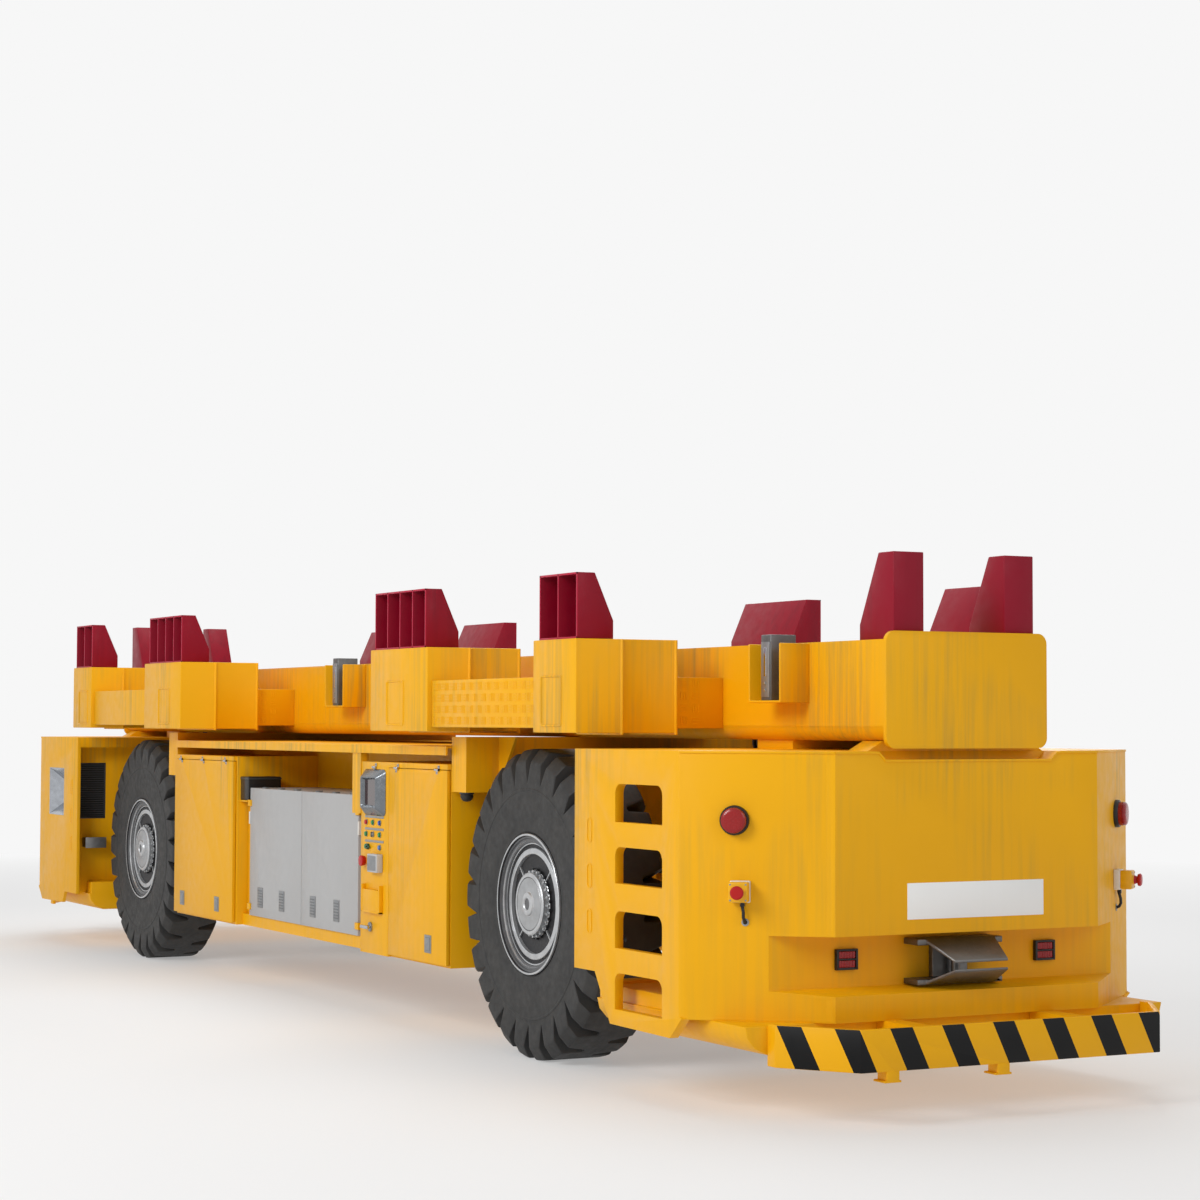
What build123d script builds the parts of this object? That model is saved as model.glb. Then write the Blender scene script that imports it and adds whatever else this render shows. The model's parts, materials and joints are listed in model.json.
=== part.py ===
from build123d import *
from math import hypot
import os

os.makedirs("parts", exist_ok=True)

# An automated guided vehicle for port containers, in millimetres.
# X points to the front, Y to the left and Z up. The origin is on the ground
# under the vehicle's middle. Both ends are alike, turned half round.

# Wheels
axle_x = 3967.0
tyre_radius = 985.0
tyre_face_y = 1300.0
tyre_width = 500.0
rim_radius = 447.0
kingpin_y = 900.0
running_gap = 0.05
seat_gap = 0.3

# End bodies
nose_back_x = 5120.0
nose_corner_x = 6370.0
nose_front_x = 6925.0
nose_side_y = 1556.0
nose_front_y = 895.0
nose_top_z = 1985.0
nose_bottom_z = 515.0

# Middle body
bay_end_x = 2870.0
cabinet_outer_x = 2855.0
cabinet_inner_x = 1352.0
cabinet_face_y = 1355.0
cabinet_top_z = 1853.0
cabinet_bottom_z = 483.0

# Load frame
beam_half_x = 6880.0
beam_half_y = 550.0
beam_bottom_z = 2040.0
beam_top_z = 2605.0
pod_face_y = 1585.0
pod_bottom_z = 2077.0
pod_top_z = 2638.0

# Plates and clearances
wall = 16.0
door_gap = 5.0
cut_over = 40.0

# Sides and ends as signs of Y and X
sides = (("right", -1), ("left", 1))
ends = (("front", 1), ("rear", -1))


def save(piece, name):
    """Labels a finished piece and writes its STEP file."""
    piece.part.label = name
    export_step(piece.part, f"parts/{name}.step")


def block(x_span, y_span, z_span, mode=Mode.ADD):
    """A box between two limits on each axis, in the open part."""
    spans = [sorted(span) for span in (x_span, y_span, z_span)]
    sizes = [high - low for low, high in spans]
    middle = [(low + high) / 2 for low, high in spans]
    with Locations(Vector(*middle)):
        Box(*sizes, mode=mode)


def outline(points, mode=Mode.ADD):
    """A closed face of straight lines in the open sketch."""
    Polygon(*points, align=None, mode=mode)


# Chassis: a box spine between the end bodies, a deck over the middle and the cross beams
spine_half_y = 330.0
spine_bottom_z = 1300.0
spine_wall = 20.0
bulkhead_x = 5300.0
deck_half_y = 1375.0
deck_top_z = 1975.0
deck_thickness = 60.0
deck_plate = 12.0
deck_lip = 14.0
portal_depth = 230.0
portal_half_y = 1330.0
portal_bottom_z = 1670.0
portal_wall = 16.0
gusset_height = 330.0
gusset_reach = 260.0
gusset_plate = 20.0
bay_wall_y = 620.0
tray_half_y = 1270.0
tray_top_z = 575.0
tray_rail = 90.0
tray_cross_shares = (-1.0, -0.34, 0.34, 1.0)
pedestal_x_half = 170.0
pedestal_y = 200.0
pedestal_half_y = 90.0
pad_height = 100.0
post_span_x = (1193.0, 1350.0)
post_inner_y = 1300.0
post_low_z = 1476.0

deck_bottom_z = deck_top_z - deck_thickness
portal_x = bay_end_x + portal_depth
pedestal_bottom_z = spine_bottom_z - pad_height / 2

with BuildPart() as spine_frame:
    # Spine tube
    with BuildSketch(Plane.YZ.offset(-bulkhead_x)):
        with Locations((0, (spine_bottom_z + deck_bottom_z) / 2)):
            Rectangle(2 * spine_half_y, deck_bottom_z - spine_bottom_z)
            Rectangle(2 * (spine_half_y - spine_wall), deck_bottom_z - spine_bottom_z - 2 * spine_wall,
                      mode=Mode.SUBTRACT)
    extrude(amount=2 * bulkhead_x)
    # Deck channel with down-turned lips
    with BuildSketch(Plane.YZ.offset(-bay_end_x)):
        with Locations((0, deck_top_z - deck_thickness / 2)):
            Rectangle(2 * deck_half_y, deck_thickness)
        with Locations((0, deck_top_z - deck_plate - deck_thickness / 2)):
            Rectangle(2 * (deck_half_y - deck_lip), deck_thickness, mode=Mode.SUBTRACT)
    extrude(amount=2 * bay_end_x)
    with BuildSketch(Plane.YZ.offset(-bay_end_x)):
        with Locations((0, (deck_bottom_z + deck_top_z - deck_plate) / 2)):
            Rectangle(2 * spine_half_y, deck_thickness - deck_plate)
    extrude(amount=2 * bay_end_x)
    # Cross beams that carry the load frame
    for _, end in ends:
        low_x, high_x = sorted((end * bay_end_x, end * portal_x))
        with BuildSketch(Plane.YZ.offset(low_x)):
            with Locations((0, (portal_bottom_z + beam_bottom_z) / 2)):
                Rectangle(2 * portal_half_y, beam_bottom_z - portal_bottom_z)
        extrude(amount=high_x - low_x)
        with BuildSketch(Plane.XZ.offset(-portal_half_y)):
            with Locations(((low_x + high_x) / 2, (portal_bottom_z + beam_bottom_z) / 2)):
                Rectangle(portal_depth - 2 * portal_wall, beam_bottom_z - portal_bottom_z - 2 * portal_wall)
        extrude(amount=2 * portal_half_y, mode=Mode.SUBTRACT)
        for _, side in sides:
            face_y = side * (portal_half_y - gusset_plate)
            block((low_x, high_x), (face_y, side * portal_half_y), (portal_bottom_z, beam_bottom_z))
    # Gussets on the wheel side of the cross beams
    for _, end in ends:
        for _, side in sides:
            with BuildSketch(Plane.XZ.offset(-side * (portal_half_y - gusset_reach))):
                outline([(end * portal_x, beam_bottom_z), (end * (portal_x + gusset_reach), beam_bottom_z),
                         (end * portal_x, beam_bottom_z - gusset_height)])
            extrude(amount=gusset_plate)
    # Walls behind the battery bays and the tray under them
    for _, side in sides:
        block((-cabinet_inner_x, cabinet_inner_x), (side * bay_wall_y, side * (bay_wall_y - wall)),
              (cabinet_bottom_z, deck_top_z - deck_plate))
        block((-cabinet_inner_x, cabinet_inner_x), (side * tray_half_y, side * (tray_half_y - tray_rail)),
              (cabinet_bottom_z, tray_top_z))
        block((-cabinet_inner_x, cabinet_inner_x), (side * bay_wall_y, side * (bay_wall_y + tray_rail)),
              (cabinet_bottom_z, tray_top_z))
    for share in tray_cross_shares:
        cross_x = share * (cabinet_inner_x - tray_rail / 2)
        block((cross_x - tray_rail / 2, cross_x + tray_rail / 2), (-tray_half_y, tray_half_y),
              (cabinet_bottom_z, tray_top_z))
    # Hanging posts at the panel ends of the battery bays
    for end, side in ((1, -1), (-1, 1)):
        block([end * x for x in post_span_x], (side * post_inner_y, side * (deck_half_y - deck_lip)),
              (post_low_z, deck_top_z - deck_plate))
    # Spring seats under the spine at each axle
    for _, end in ends:
        for _, side in sides:
            block((end * axle_x - pedestal_x_half, end * axle_x + pedestal_x_half),
                  (side * (pedestal_y - pedestal_half_y), side * (pedestal_y + pedestal_half_y)),
                  (pedestal_bottom_z, spine_bottom_z + spine_wall))
save(spine_frame, "spine_frame")

# End body: a plate box with a step well behind the step plate and a recess across the front
recess_x = 6690.0
recess_low_z = 655.0
recess_high_z = 980.0
recess_rise = 25.0
well_inner_y = 950.0
head_band = 95.0
step_plate = 55.0
scanner_plate = 30.0
plate_low_z = 402.0
plate_bevel_x = 6270.0
plate_corner = (6400.0, 520.0)
plate_knee = (5570.0, 410.0)
plate_heel = (5380.0, 694.0)
step_low_x = 5627.0
step_high_x = 6182.0
step_round = 60.0
step_spans = ((1568.0, 1788.0), (1217.0, 1427.0), (847.0, 1061.0), (498.0, 708.0))
window_x = 5810.0
window_z = 1462.5
window_width = 495.0
window_height = 453.0
grille_y = 1358.5
grille_width = 263.0
grille_z = 1477.5
grille_height = 529.0
notch_half_y = 610.0
notch_depth = 45.0
notch_reach = 120.0

with BuildPart() as nose_front:
    with BuildSketch(Plane.XY.offset(nose_bottom_z)):
        outline([(nose_back_x, -nose_side_y), (nose_corner_x, -nose_side_y), (nose_front_x, -nose_front_y),
                 (nose_front_x, nose_front_y), (nose_corner_x, nose_side_y), (nose_back_x, nose_side_y)])
    extrude(amount=nose_top_z - nose_bottom_z)
    # Hollow in three layers, the middle one held back behind the recess
    hollow_layers = (
        # low z, high z, front limit in x
        (nose_bottom_z + wall, recess_low_z - wall, nose_front_x - wall),
        (recess_low_z - wall, recess_high_z + wall, recess_x - wall),
        (recess_high_z + wall, nose_top_z - notch_depth - wall, nose_front_x - wall),
    )
    inner_side_y = nose_side_y - wall
    inner_front_y = nose_front_y - wall
    inner_corner_x = nose_corner_x - wall
    for low_z, high_z, limit_x in hollow_layers:
        with BuildSketch(Plane.XY.offset(low_z)):
            outline([(bulkhead_x + wall, -well_inner_y + wall), (nose_front_x, -well_inner_y + wall),
                     (nose_front_x - wall, -inner_front_y), (nose_front_x - wall, inner_front_y),
                     (inner_corner_x, inner_side_y), (bulkhead_x + wall, inner_side_y)])
            with Locations((limit_x / 2, 0)):
                Rectangle(limit_x, 2 * nose_side_y, mode=Mode.INTERSECT)
        extrude(amount=high_z - low_z, mode=Mode.SUBTRACT)
    # Step well, open below and to the wheel
    with BuildSketch(Plane.XY.offset(nose_bottom_z - cut_over)):
        outline([(nose_back_x - cut_over, -nose_side_y - cut_over), (nose_corner_x - wall, -nose_side_y - cut_over),
                 (nose_corner_x - wall, -inner_side_y), (inner_corner_x, -inner_side_y),
                 (nose_corner_x + (nose_side_y - well_inner_y - wall) / 2, -well_inner_y),
                 (nose_back_x - cut_over, -well_inner_y)])
    extrude(amount=nose_top_z - wall - nose_bottom_z + cut_over, mode=Mode.SUBTRACT)
    # Space between the bulkhead and the wheel, under the head band
    block((nose_back_x - cut_over, bulkhead_x), (-well_inner_y - cut_over, nose_side_y - scanner_plate),
          (nose_bottom_z - cut_over, nose_top_z - head_band), mode=Mode.SUBTRACT)
    # Seat for the spine under the head band
    block((nose_back_x - cut_over, bulkhead_x), (-spine_half_y, spine_half_y),
          (nose_bottom_z, deck_bottom_z), mode=Mode.SUBTRACT)
    # Recess across the front, with a sloping shelf
    with BuildSketch(Plane.XZ.offset(-nose_side_y)):
        outline([(recess_x, recess_low_z + recess_rise), (nose_front_x + cut_over, recess_low_z),
                 (nose_front_x + cut_over, recess_high_z), (recess_x, recess_high_z)])
    extrude(amount=2 * nose_side_y, mode=Mode.SUBTRACT)
    # Notch in the top edge under the load frame's foot
    with BuildSketch(Plane.YZ.offset(nose_front_x - notch_reach)):
        outline([(-notch_half_y, nose_top_z), (-notch_half_y + notch_depth, nose_top_z - notch_depth),
                 (notch_half_y - notch_depth, nose_top_z - notch_depth), (notch_half_y, nose_top_z),
                 (notch_half_y, nose_top_z + cut_over), (-notch_half_y, nose_top_z + cut_over)])
    extrude(amount=notch_reach + cut_over, mode=Mode.SUBTRACT)
    # Grille opening in the bulkhead
    block((bulkhead_x - cut_over, bulkhead_x + wall + cut_over),
          (grille_y - grille_width / 2, grille_y + grille_width / 2),
          (grille_z - grille_height / 2, grille_z + grille_height / 2), mode=Mode.SUBTRACT)
    # Side plates: steps on the right, scanner window on the left
    plate_points = [(nose_back_x, nose_top_z), (nose_back_x, plate_heel[1]), plate_heel, plate_knee,
                    (plate_bevel_x, plate_low_z), plate_corner, (nose_corner_x, nose_bottom_z + wall),
                    (nose_corner_x, nose_top_z)]
    with BuildSketch(Plane.XZ.offset(nose_side_y)):
        outline(plate_points)
    extrude(amount=-step_plate)
    with BuildSketch(Plane.XZ.offset(-nose_side_y)):
        outline(plate_points)
    extrude(amount=scanner_plate)
    for low_z, high_z in step_spans:
        with BuildSketch(Plane.XZ.offset(nose_side_y + cut_over)) as step_hole:
            with Locations(((step_low_x + step_high_x) / 2, (low_z + high_z) / 2)):
                Rectangle(step_high_x - step_low_x, high_z - low_z)
            fillet(step_hole.vertices().group_by(Axis.Y)[-1], radius=step_round)
        extrude(amount=-(step_plate + wall + 2 * cut_over), mode=Mode.SUBTRACT)
    with BuildSketch(Plane.XZ.offset(-nose_side_y - cut_over)):
        with Locations((window_x, window_z)):
            Rectangle(window_width, window_height)
    extrude(amount=scanner_plate + wall + 2 * cut_over, mode=Mode.SUBTRACT)
save(nose_front, "nose_front")

with BuildPart() as nose_rear:
    add(nose_front.part, rotation=(0, 0, 180))
save(nose_rear, "nose_rear")

# Belly tubs under the end bodies, raised in the step well and behind the bulkhead
tub_span_x = (5150.0, 6850.0)
# half width and height of the lower edge's corners
tub_edge = ((1420.0, 515.0), (1404.0, 450.0), (1356.0, 395.0), (1280.0, 360.0))
tub_wall = 8.0
tub_step_span_x = (5150.0, 6250.0)
tub_step_span_y = (970.0, 1400.0)
tub_step_top_z = 600.0
tub_back_x = 5290.0
tub_back_top_z = 618.0

with BuildPart() as belly_tubs:
    for inset, mode in ((0, Mode.ADD), (tub_wall, Mode.SUBTRACT)):
        edge = [(half_y - inset, z + inset if z < nose_bottom_z else z - inset) for half_y, z in tub_edge]
        with BuildSketch(Plane.YZ.offset(tub_span_x[0] + inset)):
            outline(edge + [(-half_y, z) for half_y, z in reversed(edge)])
        extrude(amount=tub_span_x[1] - tub_span_x[0] - 2 * inset, mode=mode)
    block(tub_step_span_x, [-y for y in tub_step_span_y], (nose_bottom_z, tub_step_top_z))
    block((tub_span_x[0], tub_back_x), (-tub_step_span_y[1], tub_step_span_y[1]), (nose_bottom_z, tub_back_top_z))
    add(belly_tubs.part, rotation=(0, 0, 180))
save(belly_tubs, "belly_tubs")

# Bumpers: a bent plate on two arms under each end body
bumper_front_x = 7335.0
bumper_bend_y = 1000.0
bumper_end = (6930.0, 1283.0)
bumper_return = 80.0
bumper_low_z = 302.0
bumper_high_z = 529.0
bumper_plate = 30.0
arm_y = 520.0
arm_width = 120.0
arm_low_z = 380.0
foot_y_shares = (-0.8, -0.08)
foot_width = 110.0
foot_drop = 60.0
foot_plate = 12.0

with BuildPart() as bumpers:
    with BuildSketch(Plane.XY.offset(bumper_low_z)):
        with BuildLine():
            bumper_line = Polyline(
                (bumper_end[0] - bumper_return, -bumper_end[1]), (bumper_end[0], -bumper_end[1]),
                (bumper_front_x, -bumper_bend_y), (bumper_front_x, bumper_bend_y),
                (bumper_end[0], bumper_end[1]), (bumper_end[0] - bumper_return, bumper_end[1]))
            offset(bumper_line, amount=bumper_plate, side=Side.LEFT)
        make_face()
    extrude(amount=bumper_high_z - bumper_low_z)
    for _, side in sides:
        block((tub_span_x[1], bumper_front_x - bumper_plate / 2),
              (side * arm_y - arm_width / 2, side * arm_y + arm_width / 2), (arm_low_z, nose_bottom_z))
    for share in foot_y_shares:
        foot_y = share * bumper_bend_y
        block((bumper_front_x - bumper_plate, bumper_front_x), (foot_y - foot_plate, foot_y + foot_plate),
              (bumper_low_z - foot_drop, bumper_low_z))
        block((bumper_front_x - foot_width, bumper_front_x), (foot_y - foot_width / 2, foot_y + foot_width / 2),
              (bumper_low_z - foot_drop, bumper_low_z - foot_drop + foot_plate))
    add(bumpers.part, rotation=(0, 0, 180))
save(bumpers, "bumpers")

# Cabinets: four hollow boxes beside the spine, each with a door hinged along its top
cabinet_wall = 12.0
cabinet_back_y = bay_wall_y
door_thick = 25.0
door_skin = 4.0
door_top_z = 1812.0
door_low_z = 500.0
door_inset = 22.0
panel_edge_x = 1854.0
frame_lip = 35.0
hinge_radius = 9.0
hinge_flats = 6
pin_radius = 4.5
knuckle_length = 30.0
hinge_leaf_height = 30.0
hinge_leaf = 4.0

cabinet_front_y = cabinet_face_y - door_thick - door_gap
hinge_y = cabinet_face_y + hinge_radius
hinge_z = door_top_z + door_gap / 2


def door_span(has_panel):
    """Low and high X of a door on the front right cabinet."""
    low = panel_edge_x if has_panel else cabinet_inner_x + door_inset
    return low + door_gap, cabinet_outer_x - door_gap


def hinge_places(has_panel):
    """X of each hinge on the front right cabinet."""
    low, high = door_span(has_panel)
    hinge_shares = (0.15, 0.85) if has_panel else (0.12, 0.5, 0.88)
    return [low + share * (high - low) for share in hinge_shares]


def hinge_knuckle(x, up):
    """Half of a lift-off hinge: a knuckle beside the hinge's middle and a leaf up or down from it."""
    start_x, end_x = (x, x + knuckle_length) if up > 0 else (x - knuckle_length, x - running_gap)
    block((start_x, end_x), (-cabinet_face_y - hinge_leaf, -cabinet_face_y),
          (hinge_z, hinge_z + up * hinge_leaf_height))
    with BuildSketch(Plane.YZ.offset(start_x)) as barrel:
        with Locations((-hinge_y, hinge_z)):
            RegularPolygon(hinge_radius, hinge_flats)
    extrude(barrel.sketch, amount=end_x - start_x)


def make_cabinet(has_panel):
    """The front right cabinet's body, with or without the control panel's column."""
    low_x, high_x = door_span(has_panel)
    with BuildPart() as cabinet:
        block((cabinet_inner_x, cabinet_outer_x), (-cabinet_front_y, -cabinet_back_y),
              (cabinet_bottom_z, cabinet_top_z))
        block((cabinet_inner_x + cabinet_wall, cabinet_outer_x - cabinet_wall),
              (-cabinet_front_y + cabinet_wall, -cabinet_back_y - cabinet_wall),
              (cabinet_bottom_z + cabinet_wall, cabinet_top_z - cabinet_wall), mode=Mode.SUBTRACT)
        # Door opening
        block((low_x + frame_lip, high_x - frame_lip), (-cabinet_front_y - cut_over, -cabinet_front_y + cut_over),
              (door_low_z + frame_lip, door_top_z - frame_lip), mode=Mode.SUBTRACT)
        # Strip above the door, carrying the hinges
        block((low_x - door_gap, high_x + door_gap), (-cabinet_face_y, -cabinet_front_y + cabinet_wall),
              (door_top_z + door_gap, cabinet_top_z))
        if has_panel:
            block((cabinet_inner_x, panel_edge_x), (-cabinet_face_y, -cabinet_front_y + cabinet_wall),
                  (cabinet_bottom_z, cabinet_top_z))
        for x in hinge_places(has_panel):
            hinge_knuckle(x, 1)
        # Round pin of the last hinge, in the door's knuckle
        pin_x = hinge_places(has_panel)[-1]
        with Locations(Location((pin_x, -hinge_y, hinge_z), (0, 90, 0))):
            Cylinder(pin_radius, knuckle_length)
    return cabinet


def make_door(has_panel):
    """The front right cabinet's door, a shallow tray hinged along its top."""
    low_x, high_x = door_span(has_panel)
    with BuildPart() as door:
        block((low_x, high_x), (-cabinet_face_y, -cabinet_front_y - door_gap), (door_low_z, door_top_z))
        block((low_x + frame_lip, high_x - frame_lip), (-cabinet_face_y + door_skin, -cabinet_front_y),
              (door_low_z + frame_lip, door_top_z - frame_lip), mode=Mode.SUBTRACT)
        for x in hinge_places(has_panel):
            hinge_knuckle(x, -1)
        # Bore for the pin, with flats that clear it
        with BuildSketch(Plane.YZ.offset(hinge_places(has_panel)[-1])):
            with Locations((-hinge_y, hinge_z)):
                RegularPolygon(pin_radius + running_gap, hinge_flats, major_radius=False)
        extrude(amount=-knuckle_length / 2 - running_gap, mode=Mode.SUBTRACT)
    return door


# name, control panel, turned half round, mirrored end for end
cabinet_rows = (
    ("right_front", True, 0, False),
    ("right_rear", False, 0, True),
    ("left_rear", True, 180, False),
    ("left_front", False, 180, True),
)
for name, has_panel, turn, swapped in cabinet_rows:
    for kind, made in (("cabinet", make_cabinet(has_panel)), ("door", make_door(has_panel))):
        with BuildPart() as placed:
            add(made.part)
            if swapped:
                mirror(placed.part, about=Plane.YZ, mode=Mode.REPLACE)
        with BuildPart() as turned:
            add(placed.part, rotation=(0, 0, turn))
        save(turned, f"{kind}_{name}")

# Control panels: a bevelled screen frame, button rows, label strips and a small box on the column
screen_x = 1610.0
screen_z = 1635.0
screen_width = 385.0
screen_height = 330.0
screen_depth = 60.0
screen_bevel = 50.0
button_radius = 21.0
button_flats = 6
button_depth = 18.0
button_rows_z = (1419.0, 1334.0, 1244.0)
button_columns_x = (1455.0, 1577.0, 1703.0)
strip_span_x = (1430.0, 1770.0)
strip_rows_z = (1459.0, 1372.0, 1285.0)
strip_height = 16.0
strip_depth = 4.0
box_span_x = (1585.0, 1760.0)
box_span_z = (1068.0, 1198.0)
box_depth = 55.0
stop_x = 1455.0
stop_button_z = 1141.0
stop_radius = 40.0
stop_flats = 8
stop_depth = 50.0
pocket_span_x = (1430.0, 1760.0)
pocket_span_z = (775.0, 976.0)
pocket_depth = 30.0

with BuildPart() as control_panels:
    bevels = ((0, 0), (screen_depth, screen_bevel))
    for depth, inset in bevels:
        with BuildSketch(Plane.XZ.offset(cabinet_face_y + depth)):
            with Locations((screen_x, screen_z)):
                Rectangle(screen_width - 2 * inset, screen_height - 2 * inset)
    loft()
    with BuildSketch(Plane.XZ.offset(cabinet_face_y + screen_depth / 2)):
        with Locations((screen_x, screen_z)):
            Rectangle(screen_width - 3 * screen_bevel, screen_height - 3 * screen_bevel)
    extrude(amount=screen_depth, mode=Mode.SUBTRACT)
    for row_z in button_rows_z:
        for column_x in button_columns_x:
            with BuildSketch(Plane.XZ.offset(cabinet_face_y)):
                with Locations((column_x, row_z)):
                    RegularPolygon(button_radius, button_flats)
            extrude(amount=button_depth)
    for row_z in strip_rows_z:
        block(strip_span_x, (-cabinet_face_y - strip_depth, -cabinet_face_y),
              (row_z - strip_height / 2, row_z + strip_height / 2))
    block(box_span_x, (-cabinet_face_y - box_depth, -cabinet_face_y), box_span_z)
    block(pocket_span_x, (-cabinet_face_y - pocket_depth, -cabinet_face_y), pocket_span_z)
    with BuildSketch(Plane.XZ.offset(cabinet_face_y)):
        with Locations((stop_x, stop_button_z)):
            RegularPolygon(stop_radius, stop_flats)
    extrude(amount=stop_depth)
    add(control_panels.part, rotation=(0, 0, 180))
save(control_panels, "control_panels")

# Batteries: closed steel boxes that slide in from each side, and the connector boxes over them
battery_half_x = 1142.0
battery_face_y = 1290.0
battery_back_y = 660.0
battery_top_z = 1602.0
battery_seam = 8.0
battery_vent = (70.0, 140.0)
battery_vent_z = 730.0
battery_vent_shares = (-0.78, -0.36, 0.22, 0.64)
battery_bottom_z = tray_top_z
connector_span_x = (-cabinet_inner_x, -1160.0)
connector_span_y = (1020.0, 1240.0)
connector_span_z = (1500.0, 1690.0)

with BuildPart() as batteries:
    block((-battery_half_x, battery_half_x), (-battery_face_y, -battery_back_y), (battery_bottom_z, battery_top_z))
    block((-battery_seam / 2, battery_seam / 2), (-battery_face_y + battery_seam, -battery_face_y - cut_over),
          (battery_bottom_z - cut_over, battery_top_z + cut_over), mode=Mode.SUBTRACT)
    for share in battery_vent_shares:
        vent_x = share * battery_half_x
        block((vent_x - battery_vent[0] / 2, vent_x + battery_vent[0] / 2),
              (-battery_face_y + battery_seam, -battery_face_y - battery_seam / 2),
              (battery_vent_z - battery_vent[1] / 2, battery_vent_z + battery_vent[1] / 2))
    add(batteries.part, rotation=(0, 0, 180))
save(batteries, "batteries")

with BuildPart() as connector_boxes:
    block(connector_span_x, [-y for y in connector_span_y], connector_span_z)
    add(connector_boxes.part, rotation=(0, 0, 180))
save(connector_boxes, "connector_boxes")

# Load frame: a box beam with end plates, outrigger pods and walkway boxes
beam_round = 90.0
end_plate = 30.0
end_plate_top_z = 2652.0
end_plate_low_z = 2000.0
end_plate_round = 60.0
beam_wall = 14.0
pod_step_y = 1268.0
pod_neck_y = 898.0
pod_lip = 14.0
pod_lip_proud = 12.0
outer_pod = (4615.0, 5184.0)
inner_pod = (2055.0, 3027.0)
walk_low_z = 2105.0
walk_high_z = 2415.0
walk_face_y = 1556.0
walk_inner_y = 1000.0
neck_inset = 40.0
frame_wall = 12.0
seat_x = 5600.0
seat_half = 200.0
foot_span_x = (6600.0, 6800.0)
foot_top_y = 500.0
foot_low_y = 600.0

with BuildPart() as load_beam:
    with BuildSketch(Plane.YZ.offset(-beam_half_x)) as beam_section:
        with Locations((0, (beam_bottom_z + beam_top_z) / 2)):
            Rectangle(2 * beam_half_y, beam_top_z - beam_bottom_z)
        fillet(beam_section.vertices().group_by(Axis.Y)[0], radius=beam_round)
        inner_half_y = beam_half_y - beam_wall
        outline([(-inner_half_y, beam_top_z - beam_wall), (inner_half_y, beam_top_z - beam_wall),
                 (inner_half_y, beam_bottom_z + beam_round), (beam_half_y - beam_round, beam_bottom_z + beam_wall),
                 (-beam_half_y + beam_round, beam_bottom_z + beam_wall), (-inner_half_y, beam_bottom_z + beam_round)],
                Mode.SUBTRACT)
    extrude(amount=2 * beam_half_x)
    for _, end in ends:
        with BuildSketch(Plane.YZ.offset(end * beam_half_x)):
            with Locations((0, (end_plate_low_z + end_plate_top_z) / 2)):
                RectangleRounded(2 * beam_half_y, end_plate_top_z - end_plate_low_z, end_plate_round)
        extrude(amount=end * end_plate)
        # Seat and foot that stand on the end body
        block((end * seat_x - seat_half, end * seat_x + seat_half), (-beam_half_y + beam_round, beam_half_y - beam_round),
              (nose_top_z, beam_bottom_z))
        with BuildSketch(Plane.YZ.offset(end * foot_span_x[0])):
            outline([(-foot_low_y, nose_top_z), (foot_low_y, nose_top_z), (foot_top_y, beam_bottom_z),
                     (-foot_top_y, beam_bottom_z)])
        extrude(amount=end * (foot_span_x[1] - foot_span_x[0]))
save(load_beam, "load_beam")

with BuildPart() as load_pods:
    for low_x, high_x in (outer_pod, inner_pod):
        # Outer and inner box of a pod, with a lip plate at each step
        block((low_x, high_x), (-pod_face_y, -pod_neck_y), (pod_bottom_z, pod_top_z))
        for lip_y in (pod_step_y, pod_neck_y):
            block((low_x - pod_lip_proud, high_x + pod_lip_proud), (-lip_y, -lip_y - pod_lip),
                  (pod_bottom_z - pod_lip_proud, pod_top_z))
        block((low_x + neck_inset, high_x - neck_inset), (-pod_neck_y, -beam_half_y), (walk_low_z, walk_high_z))
        block((low_x + frame_wall, high_x - frame_wall), (-pod_face_y + frame_wall, -pod_neck_y - pod_lip),
              (pod_bottom_z + frame_wall, pod_top_z - frame_wall), mode=Mode.SUBTRACT)
    mirror(about=Plane.XZ)
    mirror(about=Plane.YZ)
save(load_pods, "load_pods")

with BuildPart() as walkway_boxes:
    walk_low_x = inner_pod[1] + pod_lip_proud
    walk_high_x = outer_pod[0] - pod_lip_proud
    block((walk_low_x, walk_high_x), (-walk_face_y, -walk_inner_y), (walk_low_z, walk_high_z))
    block((walk_low_x + frame_wall, walk_high_x - frame_wall), (-walk_face_y + frame_wall, -walk_inner_y - frame_wall),
          (walk_low_z + frame_wall, walk_high_z - frame_wall), mode=Mode.SUBTRACT)
    mirror(about=Plane.XZ)
    mirror(about=Plane.YZ)
save(walkway_boxes, "walkway_boxes")

# Guides: red ribbed chutes that centre the load on the frame
guide_height = 395.0
guide_base_depth = 245.0
guide_top_depth = 120.0
guide_upright = 110.0
guide_plate = 12.0
guide_inset = 30.0
guide_outer_y = 1565.0
# span along X and the number of ribs
guide_rows = (((4660.0, 5160.0), 3), ((2090.0, 2950.0), 5))

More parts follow.
